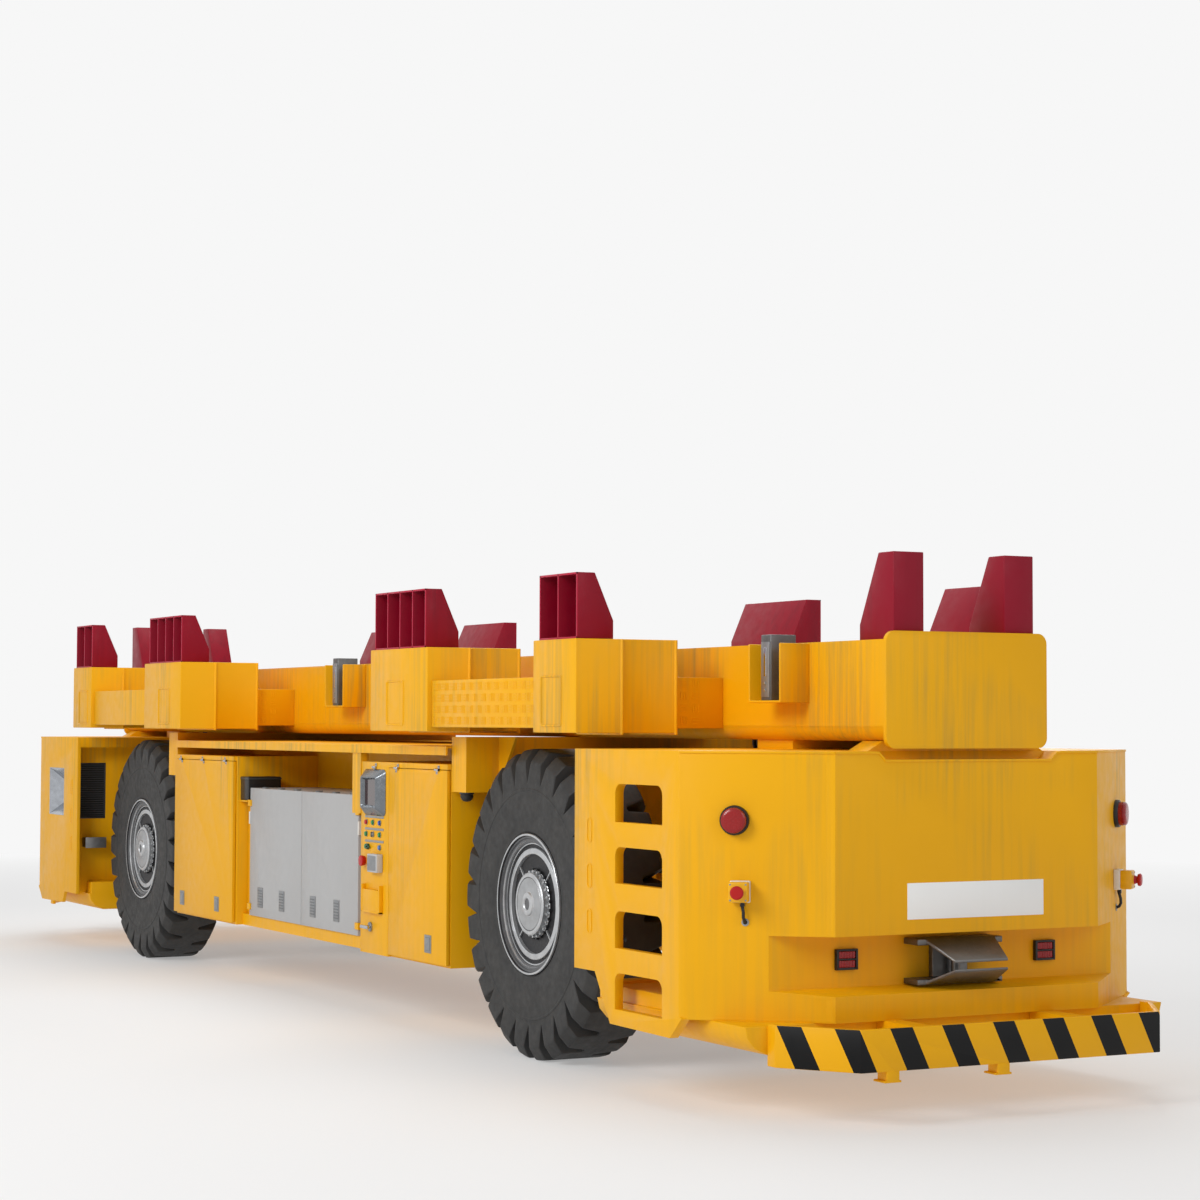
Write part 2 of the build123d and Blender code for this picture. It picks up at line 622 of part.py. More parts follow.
with BuildPart() as side_guides:
    for (low_x, high_x), ribs in guide_rows:
        profile = [(-guide_outer_y, pod_top_z), (-guide_outer_y + guide_base_depth, pod_top_z),
                   (-guide_outer_y + guide_base_depth, pod_top_z + guide_upright),
                   (-guide_outer_y + guide_top_depth, pod_top_z + guide_height),
                   (-guide_outer_y, pod_top_z + guide_height)]
        with BuildSketch(Plane.YZ.offset(low_x)):
            outline(profile)
        extrude(amount=high_x - low_x)
        pitch = (high_x - low_x - guide_plate) / (ribs - 1)
        slant = hypot(guide_base_depth - guide_top_depth, guide_height - guide_upright)
        back = guide_plate * slant / (guide_height - guide_upright)
        for cell in range(ribs - 1):
            with BuildSketch(Plane.YZ.offset(low_x + guide_plate + cell * pitch)):
                outline([(-guide_outer_y - cut_over, pod_top_z + guide_plate),
                         (-guide_outer_y + guide_base_depth - back, pod_top_z + guide_plate),
                         (-guide_outer_y + guide_base_depth - back, pod_top_z + guide_upright),
                         (-guide_outer_y + guide_top_depth - back + guide_plate * (guide_base_depth - guide_top_depth)
                          / (guide_height - guide_upright), pod_top_z + guide_height - guide_plate),
                         (-guide_outer_y - cut_over, pod_top_z + guide_height - guide_plate)])
            extrude(amount=pitch - guide_plate, mode=Mode.SUBTRACT)
    mirror(about=Plane.XZ)
    mirror(about=Plane.YZ)
save(side_guides, "side_guides")

end_guide_span = (277.0, 480.0)
end_guide_height = 490.0
end_guide_base = 340.0
end_guide_top = 150.0
end_guide_upright = 90.0
end_guide_low_z = beam_top_z
end_guide_front_x = beam_half_x - seat_gap

with BuildPart() as end_guides:
    guide_top_z = end_guide_low_z + end_guide_height
    upright_z = end_guide_low_z + end_guide_upright
    with BuildSketch(Plane.XZ.offset(end_guide_span[0])):
        outline([(end_guide_front_x, end_guide_low_z), (end_guide_front_x, guide_top_z),
                 (end_guide_front_x - end_guide_top, guide_top_z),
                 (end_guide_front_x - end_guide_base, upright_z),
                 (end_guide_front_x - end_guide_base, end_guide_low_z)])
    extrude(amount=end_guide_span[1] - end_guide_span[0])
    mirror(about=Plane.XZ)
    mirror(about=Plane.YZ)
save(end_guides, "end_guides")

# Corner lock boxes on the beam's sides, each with a steel post
lock_span_x = (5769.0, 6124.0)
lock_inner_span_x = (505.0, 900.0)
lock_face_y = 750.0
lock_low_z = 2256.0
lock_high_z = 2600.0
lock_plate = 14.0
post_half = 55.0
post_top_z = 2652.0

with BuildPart() as lock_boxes:
    for low_x, high_x in (lock_span_x, lock_inner_span_x):
        block((low_x, high_x), (-lock_face_y, -beam_half_y), (lock_low_z, lock_high_z))
        block((low_x + lock_plate, high_x - lock_plate), (-lock_face_y - cut_over, -beam_half_y - lock_plate),
              (lock_low_z + lock_plate, lock_high_z + cut_over), mode=Mode.SUBTRACT)
    mirror(about=Plane.XZ)
    mirror(about=Plane.YZ)
save(lock_boxes, "lock_boxes")

with BuildPart() as lock_posts:
    for low_x, high_x in (lock_span_x, lock_inner_span_x):
        middle_x = (low_x + high_x) / 2
        block((middle_x - post_half, middle_x + post_half),
              (-lock_face_y + lock_plate, -beam_half_y - lock_plate - seat_gap),
              (lock_low_z + lock_plate, post_top_z))
    mirror(about=Plane.XZ)
    mirror(about=Plane.YZ)
save(lock_posts, "lock_posts")

# Axles: a steered beam with a yoke at each end, and the drive unit on its outer side
beam_half = 130.0
yoke_inner_y = 690.0
yoke_outer_y = 970.0
yoke_gap = 235.0
yoke_arm = 55.0
yoke_half_x = 85.0
drive_half_y = 210.0
drive_reach = 420.0
drive_half_z = 200.0
motor_radius = 150.0
motor_length = 330.0
motor_flats = 12

with BuildPart() as axles:
    with BuildSketch(Plane.YZ.offset(axle_x - beam_half)):
        with Locations((0, tyre_radius)):
            Rectangle(2 * yoke_inner_y, 2 * beam_half)
    extrude(amount=2 * beam_half)
    for _, side in sides:
        block((axle_x - yoke_half_x, axle_x + yoke_half_x), (side * (yoke_inner_y - yoke_arm), side * yoke_inner_y),
              (tyre_radius - yoke_gap - yoke_arm, tyre_radius + yoke_gap + yoke_arm))
        for up in (-1, 1):
            arm_z = (tyre_radius + up * yoke_gap, tyre_radius + up * (yoke_gap + yoke_arm))
            block((axle_x - yoke_half_x, axle_x + yoke_half_x), (side * yoke_inner_y, side * yoke_outer_y), arm_z)
        # Spring seat on the beam
        block((axle_x - beam_half, axle_x + beam_half),
              (side * (pedestal_y - pedestal_half_y), side * (pedestal_y + pedestal_half_y)),
              (tyre_radius, pedestal_bottom_z - pad_height))
    mirror(about=Plane.YZ)
save(axles, "axles")

with BuildPart() as spring_blocks:
    for _, end in ends:
        for _, side in sides:
            block((end * axle_x - beam_half, end * axle_x + beam_half),
                  (side * (pedestal_y - pedestal_half_y), side * (pedestal_y + pedestal_half_y)),
                  (pedestal_bottom_z - pad_height, pedestal_bottom_z))
save(spring_blocks, "spring_blocks")

with BuildPart() as drive_units:
    block((axle_x + beam_half, axle_x + drive_reach), (-drive_half_y, drive_half_y),
          (tyre_radius - drive_half_z, tyre_radius + drive_half_z))
    with BuildSketch(Plane.YZ.offset(axle_x + drive_reach)):
        with Locations((0, tyre_radius)):
            RegularPolygon(motor_radius, motor_flats)
    extrude(amount=motor_length)
    mirror(about=Plane.YZ)
save(drive_units, "drive_units")

# Knuckles, wheels and tyres; each is made for the front left corner and then placed
knuckle_half_x = 95.0
knuckle_face_y = 985.0
knuckle_back_y = 830.0
knuckle_gap = 12.0
thrust_radius = 70.0
bearing_radius = 140.0
bearing_flats = 12
tie_reach = 260.0
tie_end_radius = 34.0
tie_half_z = 22.0
tie_arm = 20.0
hub_radius = 200.0
hub_back_y = 1010.0
disc_back_y = 1205.0
disc_face_y = 1235.0
disc_radius = 345.0
hub_face_y = 1290.0
cap_radius = 55.0
cap_depth = 9.0
rim_inner = 391.0
rim_lip = 22.0
rim_flats = 26

tie_x = axle_x - tie_reach
tie_z = tyre_radius


def wheel_plane(y):
    """A plane across the front left wheel's axis, facing out."""
    return Plane(origin=(axle_x, y, tyre_radius), x_dir=(1, 0, 0), z_dir=(0, 1, 0))


def make_dish(low_y, low_reach, high_y, high_reach):
    """A flat-sided cutter on the front left wheel's axis that widens outwards."""
    with BuildPart() as dish:
        with BuildSketch(wheel_plane(low_y)) as rim:
            RegularPolygon(high_reach, rim_flats, major_radius=False)
        extrude(rim.sketch, amount=high_y - low_y + cut_over)
        base = dish.faces().sort_by(Axis.Y)[0]
        chamfer(base.edges(), length=high_reach - low_reach, length2=high_y - low_y, reference=base)
    return dish.part


wheel_dish = make_dish(disc_face_y, disc_radius, tyre_face_y, rim_radius - rim_lip)

with BuildPart() as knuckle:
    knuckle_half_z = yoke_gap - knuckle_gap
    block((axle_x - knuckle_half_x, axle_x + knuckle_half_x), (knuckle_back_y, knuckle_face_y),
          (tyre_radius - knuckle_half_z, tyre_radius + knuckle_half_z))
    # Thrust bearings between the yoke's arms, a round one below and a plain one above
    lower_z = tyre_radius - yoke_gap + seat_gap
    upper_z = tyre_radius + knuckle_half_z
    thrust_height = knuckle_gap - seat_gap
    with Locations((axle_x, kingpin_y, lower_z + thrust_height / 2)):
        Cylinder(thrust_radius, thrust_height)
    with BuildSketch(Plane.XY.offset(upper_z)):
        with Locations((axle_x, kingpin_y)):
            RegularPolygon(thrust_radius, bearing_flats)
    extrude(amount=thrust_height)
    # Bearing seat that faces the hub
    with BuildSketch(wheel_plane(knuckle_face_y)):
        RegularPolygon(bearing_radius, bearing_flats)
    extrude(amount=hub_back_y - seat_gap - knuckle_face_y)
    # Arm under the tie rod's end
    block((tie_x - tie_end_radius, axle_x - knuckle_half_x), (kingpin_y - tie_end_radius,
          kingpin_y + tie_end_radius), (tie_z - tie_half_z - seat_gap - tie_arm, tie_z - tie_half_z - seat_gap))

with BuildPart() as wheel:
    # Rim, open at the back
    rim_steps = (
        # low y, high y, flat's distance from the axis, mode
        (tyre_face_y - tyre_width, tyre_face_y, rim_radius, Mode.ADD),
        (tyre_face_y - tyre_width, disc_back_y, rim_inner, Mode.SUBTRACT),
    )
    for low_y, high_y, reach, mode in rim_steps:
        with BuildSketch(wheel_plane(low_y)):
            RegularPolygon(reach, rim_flats, major_radius=False)
        extrude(amount=high_y - low_y, mode=mode)
    # Dished front
    add(wheel_dish, mode=Mode.SUBTRACT)
    # Hub and cap
    with BuildSketch(wheel_plane(hub_back_y)):
        RegularPolygon(hub_radius, bearing_flats)
    extrude(amount=hub_face_y - hub_back_y)
    with BuildSketch(wheel_plane(hub_face_y)):
        Circle(cap_radius)
    extrude(amount=cap_depth)

# Tyre: flat-sided bands with tapered grooves that run over each shoulder and down the sidewall
tread_flats = 2 * rim_flats
tread_half = 200.0
shoulder_radius = 905.0
dish_radius = 690.0
dish_depth = 18.0
groove_root = (-20.0, 258.0, 756.0)
groove_end = (40.0, 60.0, 925.0)
groove_height = 260.0
groove_slope = 0.2

tyre_mid_y = tyre_face_y - tyre_width / 2
tyre_half = tyre_width / 2
flat_turn = 180.0 / tread_flats
groove_pitch = 360.0 / rim_flats
wheel_axis = Axis((axle_x, 0, tyre_radius), (0, 1, 0))
wheel_middle = Vector(axle_x, tyre_mid_y, tyre_radius)
groove_run = Vector(*groove_end) - Vector(*groove_root)

with BuildPart() as groove:
    with BuildSketch(Plane(origin=wheel_middle + Vector(*groove_root), x_dir=Vector(0, 0, 1).cross(groove_run),
                           z_dir=groove_run)):
        outline([(0, 0), (groove_slope * groove_height, groove_height),
                 (-groove_slope * groove_height, groove_height)])
    extrude(amount=groove_run.length)

tyre_dish = make_dish(tyre_face_y - dish_depth, rim_radius, tyre_face_y, dish_radius)

with BuildPart() as tyre:
    with BuildSketch(wheel_plane(tyre_mid_y - tyre_half)):
        RegularPolygon(tyre_radius, tread_flats, major_radius=False, rotation=flat_turn)
    extrude(amount=tyre_width)
    across = tyre.faces().sort_by(Axis.Y)
    for face in (across[0], across[-1]):
        chamfer(face.edges(), length=tyre_radius - shoulder_radius, length2=tyre_half - tread_half, reference=face)
    add((tyre_dish, tyre_dish.mirror(Plane.XZ.offset(-tyre_mid_y))), mode=Mode.SUBTRACT)
    with BuildSketch(wheel_plane(tyre_mid_y - tyre_half)):
        RegularPolygon(rim_radius + seat_gap, rim_flats, major_radius=False)
    extrude(amount=tyre_width, mode=Mode.SUBTRACT)
    # Grooves of one side stand between those of the other
    far_groove = groove.part.mirror(Plane.XZ.offset(-tyre_mid_y)).rotate(wheel_axis, groove_pitch / 2)
    cutters = [made.rotate(wheel_axis, copy * groove_pitch) for made in (groove.part, far_groove)
               for copy in range(rim_flats)]
    add(cutters, mode=Mode.SUBTRACT)

for end_name, end in ends:
    for name, side in sides:
        for kind, made in (("knuckle", knuckle), ("wheel", wheel), ("tyre", tyre)):
            with BuildPart() as placed:
                add(made.part)
                if side < 0:
                    mirror(placed.part, about=Plane.XZ, mode=Mode.REPLACE)
                if end < 0:
                    mirror(placed.part, about=Plane.YZ, mode=Mode.REPLACE)
            save(placed, f"{kind}_{end_name}_{name}")

# Tie rods: one across each axle, with an end on each knuckle's arm
tie_rod_radius = 20.0
tie_rod_flats = 6

for end_name, end in ends:
    with BuildPart() as tie_rod:
        with BuildSketch(Plane.XZ.offset(-kingpin_y)):
            with Locations((end * tie_x, tie_z)):
                RegularPolygon(tie_rod_radius, tie_rod_flats)
        extrude(amount=2 * kingpin_y)
        with Locations((end * tie_x, kingpin_y, tie_z)):
            Cylinder(tie_end_radius, 2 * tie_half_z)
        with BuildSketch(Plane.XY.offset(tie_z - tie_half_z)):
            with Locations((end * tie_x, -kingpin_y)):
                RegularPolygon(tie_end_radius, bearing_flats)
        extrude(amount=2 * tie_half_z)
    save(tie_rod, f"tie_rod_{end_name}")

# Tow couplings: a beak of two slanted plates on ears in the recess, with a captive pin
tow_ear_half_y = 290.0
tow_ear_x = 6830.0
tow_ears_z = ((905.0, 940.0), (684.0, 716.0))
tow_web_half_y = 120.0
tow_web = 40.0
beak_back_half_y = 235.0
beak_tip_half_y = 180.0
beak_tip_x = 7030.0
beak_plate = 16.0
beak_tips_z = (835.0, 770.0)
tow_pin_x = 6780.0
tow_pin_radius = 26.0
tow_pin_flats = 8

with BuildPart() as tow_couplings:
    for (low_z, high_z), up, tip_z in zip(tow_ears_z, (1, -1), beak_tips_z):
        block((recess_x, tow_ear_x), (-tow_ear_half_y, tow_ear_half_y), (low_z, high_z))
        root_z = high_z if up > 0 else low_z
        with BuildSketch(Plane.XZ.offset(-beak_back_half_y)):
            outline([(tow_ear_x - beak_plate, root_z), (tow_ear_x, root_z), (beak_tip_x, tip_z),
                     (beak_tip_x, tip_z - up * beak_plate), (tow_ear_x - beak_plate, root_z - up * beak_plate)])
        extrude(amount=2 * beak_back_half_y)
    # Beak narrows to its tip
    for _, side in sides:
        with BuildSketch(Plane.XY.offset(tow_ears_z[1][0])):
            outline([(tow_ear_x, side * beak_back_half_y), (beak_tip_x, side * beak_tip_half_y),
                     (beak_tip_x + cut_over, side * beak_tip_half_y), (beak_tip_x + cut_over, side * tow_ear_half_y),
                     (tow_ear_x, side * tow_ear_half_y)])
        extrude(amount=tow_ears_z[0][1] - tow_ears_z[1][0], mode=Mode.SUBTRACT)
    block((recess_x, recess_x + tow_web), (-tow_web_half_y, tow_web_half_y), (tow_ears_z[1][0], tow_ears_z[0][1]))
    with BuildSketch(Plane.XY.offset(tow_ears_z[1][0])):
        with Locations((tow_pin_x, 0)):
            RegularPolygon(tow_pin_radius, tow_pin_flats)
    extrude(amount=tow_ears_z[0][1] - tow_ears_z[1][0])
    add(tow_couplings.part, rotation=(0, 0, 180))
save(tow_couplings, "tow_couplings")

# Lamps: round red lamps on the corner panels, square pairs in the recess, and stop buttons
lamp_radius = 83.0
lamp_flats = 12
lamp_base = 25.0
lamp_lens = 45.0
lamp_share = 0.36
lamp_z = 1607.0
rear_lamp_y = 680.0
rear_lamp_z = 835.0
rear_lamp_size = (140.0, 115.0)
rear_lamp_base = 25.0
rear_lens_size = (104.0, 38.0)
rear_lens_rise = 24.0
rear_lens_proud = 6.0
stop_share = 0.40
stop_z = 1220.0
stop_base = (120.0, 110.0, 40.0)
stop_box = (110.0, 110.0, 70.0)
stop_cap_radius = 38.0
stop_cap_depth = 50.0
stop_cap_flats = 8


def corner_plane(share, side, z):
    """A plane on the front body's corner panel at a share of its width, facing out."""
    out = Vector(nose_side_y - nose_front_y, side * (nose_front_x - nose_corner_x), 0)
    place_x = nose_corner_x + share * (nose_front_x - nose_corner_x)
    place_y = nose_side_y + share * (nose_front_y - nose_side_y)
    return Plane(origin=(place_x, side * place_y, z), x_dir=(0, 0, 1), z_dir=out)


with BuildPart() as lamp_bases:
    for _, side in sides:
        with BuildSketch(corner_plane(lamp_share, side, lamp_z)):
            RegularPolygon(lamp_radius, lamp_flats)
        extrude(amount=lamp_base)
        block((recess_x, recess_x + rear_lamp_base),
              (side * rear_lamp_y - rear_lamp_size[0] / 2, side * rear_lamp_y + rear_lamp_size[0] / 2),
              (rear_lamp_z - rear_lamp_size[1] / 2, rear_lamp_z + rear_lamp_size[1] / 2))
    add(lamp_bases.part, rotation=(0, 0, 180))
save(lamp_bases, "lamp_bases")

with BuildPart() as lamp_lenses:
    for _, side in sides:
        with BuildSketch(corner_plane(lamp_share, side, lamp_z).offset(lamp_base)):
            RegularPolygon(lamp_radius - lamp_base / 2, lamp_flats)
        extrude(amount=lamp_lens)
        for up in (-1, 1):
            lens_z = rear_lamp_z + up * rear_lens_rise
            block((recess_x + rear_lamp_base, recess_x + rear_lamp_base + rear_lens_proud),
                  (side * rear_lamp_y - rear_lens_size[0] / 2, side * rear_lamp_y + rear_lens_size[0] / 2),
                  (lens_z - rear_lens_size[1] / 2, lens_z + rear_lens_size[1] / 2))
    add(lamp_lenses.part, rotation=(0, 0, 180))
save(lamp_lenses, "lamp_lenses")

with BuildPart() as stop_boxes:
    for _, side in sides:
        base_plane = corner_plane(stop_share, side, stop_z)
        with BuildSketch(base_plane):
            Rectangle(*stop_base[:2])
        extrude(amount=stop_base[2])
        with BuildSketch(base_plane.offset(stop_base[2])):
            Rectangle(*stop_box[:2])
        extrude(amount=stop_box[2])
        with BuildSketch(base_plane.offset(stop_base[2] + stop_box[2])):
            RegularPolygon(stop_cap_radius, stop_cap_flats)
        extrude(amount=stop_cap_depth)
    add(stop_boxes.part, rotation=(0, 0, 180))
save(stop_boxes, "stop_boxes")

# Scanner hoods, funnels behind the windows in the side plates, and the bulkhead grilles
hood_depth = 150.0
hood_inner = (195.0, 153.0)
hood_plate = 4.0
glass_depth = 8.0


def make_funnel(inset):
    """The space inside the front window's hood, smaller all round by the inset."""
    hood_y = nose_side_y - hood_depth
    wide, high = window_width / 2 - inset, window_height / 2 - inset
    inner_wide, inner_high = hood_inner[0] / 2 - inset, hood_inner[1] / 2 - inset
    with BuildPart() as funnel:
        with BuildSketch(Plane.XY) as plan:
            outline([(window_x - wide, nose_side_y), (window_x + wide, nose_side_y),
                     (window_x + inner_wide, hood_y), (window_x - inner_wide, hood_y)])
        extrude(plan.sketch, amount=nose_top_z)
        with BuildSketch(Plane.YZ) as section:
            outline([(nose_side_y, window_z - high), (nose_side_y, window_z + high),
                     (hood_y, window_z + inner_high), (hood_y, window_z - inner_high)])
        extrude(section.sketch, amount=nose_front_x, mode=Mode.INTERSECT)
    return funnel.part


hood_outside = make_funnel(seat_gap)
hood_inside = make_funnel(seat_gap + hood_plate)

with BuildPart() as scanner_frames:
    add(hood_outside)
    add(hood_inside, mode=Mode.SUBTRACT)
    add(scanner_frames.part, rotation=(0, 0, 180))
save(scanner_frames, "scanner_frames")

with BuildPart() as scanner_glass:
    with BuildSketch(Plane.XZ.offset(-nose_side_y + hood_depth)):
        with Locations((window_x, window_z)):
            Rectangle(*hood_inner)
    extrude(amount=glass_depth)
    add(scanner_glass.part, rotation=(0, 0, 180))
save(scanner_glass, "scanner_glass")

with BuildPart() as grilles:
    block((bulkhead_x, bulkhead_x + wall),
          (grille_y - grille_width / 2 + seat_gap, grille_y + grille_width / 2 - seat_gap),
          (grille_z - grille_height / 2 + seat_gap, grille_z + grille_height / 2 - seat_gap))
    add(grilles.part, rotation=(0, 0, 180))
save(grilles, "grilles")
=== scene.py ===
"""Dresses the automated guided vehicle: finishes for its plates and new meshes for its fittings."""

import json
import logging
from dataclasses import dataclass, field
from enum import Enum
from math import cos, hypot, pi, radians, sin
from typing import Iterable, Optional, Sequence

import bmesh
import bpy
from mathutils import Matrix, Vector


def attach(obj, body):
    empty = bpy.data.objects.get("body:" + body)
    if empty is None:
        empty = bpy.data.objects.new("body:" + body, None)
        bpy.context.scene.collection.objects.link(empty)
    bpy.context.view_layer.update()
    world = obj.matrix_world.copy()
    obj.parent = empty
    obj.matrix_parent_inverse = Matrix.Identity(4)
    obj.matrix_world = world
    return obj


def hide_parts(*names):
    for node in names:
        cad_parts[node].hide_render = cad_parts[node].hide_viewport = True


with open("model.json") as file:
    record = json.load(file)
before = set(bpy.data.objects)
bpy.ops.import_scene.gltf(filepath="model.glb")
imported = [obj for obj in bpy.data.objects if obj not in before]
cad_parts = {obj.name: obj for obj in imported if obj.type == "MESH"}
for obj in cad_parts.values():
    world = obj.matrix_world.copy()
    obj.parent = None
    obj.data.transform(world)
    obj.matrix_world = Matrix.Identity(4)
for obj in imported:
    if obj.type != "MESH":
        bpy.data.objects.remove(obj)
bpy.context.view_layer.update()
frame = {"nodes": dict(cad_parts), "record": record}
LOG = logging.getLogger("vehicle")
CHASSIS = "chassis"
IDENTITY = Matrix.Identity(4)
END_TURNS = (IDENTITY, Matrix.Rotation(pi, 4, "Z"))

Colour = tuple[float, float, float, float]
Triple = tuple[float, float, float]
Pair = tuple[float, float]


class Side(Enum):
    """A side of the vehicle, with its sign along the second axis."""

    RIGHT = -1
    LEFT = 1


class End(Enum):
    """An end of the vehicle, with its sign along the first axis."""

    FRONT = 1
    REAR = -1


SIDES = tuple((side.name.lower(), side.value) for side in Side)
ENDS = tuple((end.name.lower(), end.value) for end in End)


def srgb(red: int, green: int, blue: int) -> Colour:
    """Turns a colour of 0 to 255 a channel into the linear colour that a shader takes.

    Args:
        red: Red channel.
        green: Green channel.
        blue: Blue channel.

    Returns:
        The linear colour with full alpha.
    """
    linear = []
    for channel in (red, green, blue):
        share = channel / 255
        linear.append(share / 12.92 if share <= 0.04045 else ((share + 0.055) / 1.055) ** 2.4)
    return (linear[0], linear[1], linear[2], 1.0)


class Graph:
    """A material's node tree, with short calls that add and join nodes."""

    def __init__(self, name: str) -> None:
        """Starts a material of one principled shader.

        Args:
            name: The material's name.
        """
        self.material = bpy.data.materials.new(name)
        self.material.use_nodes = True
        self.tree = self.material.node_tree
        self.shader = self.tree.nodes["Principled BSDF"]

    def node(self, kind: str, settings: Optional[dict] = None, **inputs: object) -> bpy.types.Node:
        """Adds a node and sets its options and inputs.

        Args:
            kind: The node's type, without the leading ShaderNode.
            settings: Options of the node by name.
            **inputs: Values or output sockets by input name, with _ for a space.

        Returns:
            The new node.
        """
        made = self.tree.nodes.new(f"ShaderNode{kind}")
        for key, value in (settings or {}).items():
            setattr(made, key, value)
        for key, value in inputs.items():
            self.feed(made.inputs[key.replace("_", " ")], value)
        return made

    def feed(self, socket: bpy.types.NodeSocket, value: object) -> None:
        """Sets an input to a value, or joins it to an output.

        Args:
            socket: The input socket.
            value: A number, a colour, a vector or an output socket.
        """
        if isinstance(value, bpy.types.NodeSocket):
            self.tree.links.new(value, socket)
        else:
            socket.default_value = value

    def here(self) -> bpy.types.NodeSocket:
        """Gives the object coordinates."""
        return self.node("TexCoord").outputs["Object"]

    def axes(self, vector: bpy.types.NodeSocket) -> bpy.types.bpy_prop_collection:
        """Splits a vector into its parts X, Y and Z."""
        return self.node("SeparateXYZ", Vector=vector).outputs

    def place(self, scale: Triple = (1.0, 1.0, 1.0)) -> bpy.types.NodeSocket:
        """Gives the object coordinates, stretched.

        Args:
            scale: Factor along each axis.

        Returns:
            The vector socket.
        """
        return self.node("Mapping", Vector=self.here(), Scale=scale).outputs["Vector"]

    def noise(self, scale: float, detail: float = 3.0,
              stretch: Triple = (1.0, 1.0, 1.0)) -> bpy.types.NodeSocket:
        """Adds a noise on object coordinates.

        Args:
            scale: Cells per metre.
            detail: Octaves of the noise.
            stretch: Factor along each axis before the scale.

        Returns:
            The noise's value socket.
        """
        return self.node("TexNoise", Vector=self.place(stretch), Scale=scale,
                         Detail=detail).outputs["Fac"]

    def ramp(self, value: bpy.types.NodeSocket, low: float, high: float, start: float, end: float
             ) -> bpy.types.NodeSocket:
        """Maps a value from one span to another, held at its ends.

        Args:
            value: The value's socket.
            low: Where the source span starts.
            high: Where the source span ends.
            start: What the low end becomes.
            end: What the high end becomes.

        Returns:
            The mapped value's socket.
        """
        made = self.node("MapRange", Value=value)
        for key, number in (("From Min", low), ("From Max", high), ("To Min", start),
                            ("To Max", end)):
            made.inputs[key].default_value = number
        return made.outputs["Result"]
    def cloud(self, scale: float, detail: float, span: Pair, ends: Pair) -> bpy.types.NodeSocket:
        """Adds a noise that goes from one value to another.

        Args:
            scale: Cells of the noise per metre.
            detail: Its octaves.
            span: The noise's values between which it changes.
            ends: What it is below and above them.

        Returns:
            The value's socket.
        """
        return self.ramp(self.noise(scale, detail), *span, *ends)
    def math(self, operation: str, first: object, second: object = 0.0) -> bpy.types.NodeSocket:
        """Adds a math node.

        Args:
            operation: The operation's name.
            first: First value or socket.
            second: Second value or socket.

        Returns:
            The result's socket.
        """
        made = self.node("Math", {"operation": operation})
        self.feed(made.inputs[0], first)
        self.feed(made.inputs[1], second)
        return made.outputs["Value"]

    def mix(self, factor: object, first: object, second: object) -> bpy.types.NodeSocket:
        """Mixes two colours.

        Args:
            factor: Share of the second colour.
            first: First colour or socket.
            second: Second colour or socket.

        Returns:
            The mixed colour's socket.
        """
        # Several sockets of this node share a name, so they are taken by number
        factor_input, first_input, second_input, colour_output = 0, 6, 7, 2
        made = self.node("Mix", {"data_type": "RGBA"})
        self.feed(made.inputs[factor_input], factor)
        self.feed(made.inputs[first_input], first)
        self.feed(made.inputs[second_input], second)
        return made.outputs[colour_output]

    def bump(self, height: bpy.types.NodeSocket, strength: float, distance: float) -> None:
        """Bumps the shader's surface.

        Args:
            height: Height socket.
            strength: Strength of the bump.
            distance: Depth in metres.
        """
        made = self.node("Bump", Height=height, Strength=strength, Distance=distance)
        self.feed(self.shader.inputs["Normal"], made.outputs["Normal"])

    def set(self, **inputs: object) -> None:
        """Sets or joins inputs of the shader, named with _ for a space."""
        for key, value in inputs.items():
            self.feed(self.shader.inputs[key.replace("_", " ")], value)


@dataclass(frozen=True)
class Finish:
    """A finish that becomes a material when it is first asked for.

    Its name isn't one of the record's slots, because the frame's own materials bear those.

    Attributes:
        name: Name of the finish.
        colour: Main colour.
    """

    name: str
    colour: Colour

    def shaded(self, share: float) -> Colour:
        """Gives the main colour at a share of its brightness."""
        red, green, blue, _ = self.colour
        return (share * red, share * green, share * blue, 1.0)

    def dress(self, graph: Graph) -> None:
        """Sets up the shader of a new material."""
        graph.set(Base_Color=self.colour)

    def material(self) -> bpy.types.Material:
        """Builds the material once and gives it back."""
        if self.name not in bpy.data.materials:
            self.dress(Graph(self.name))
        return bpy.data.materials[self.name]


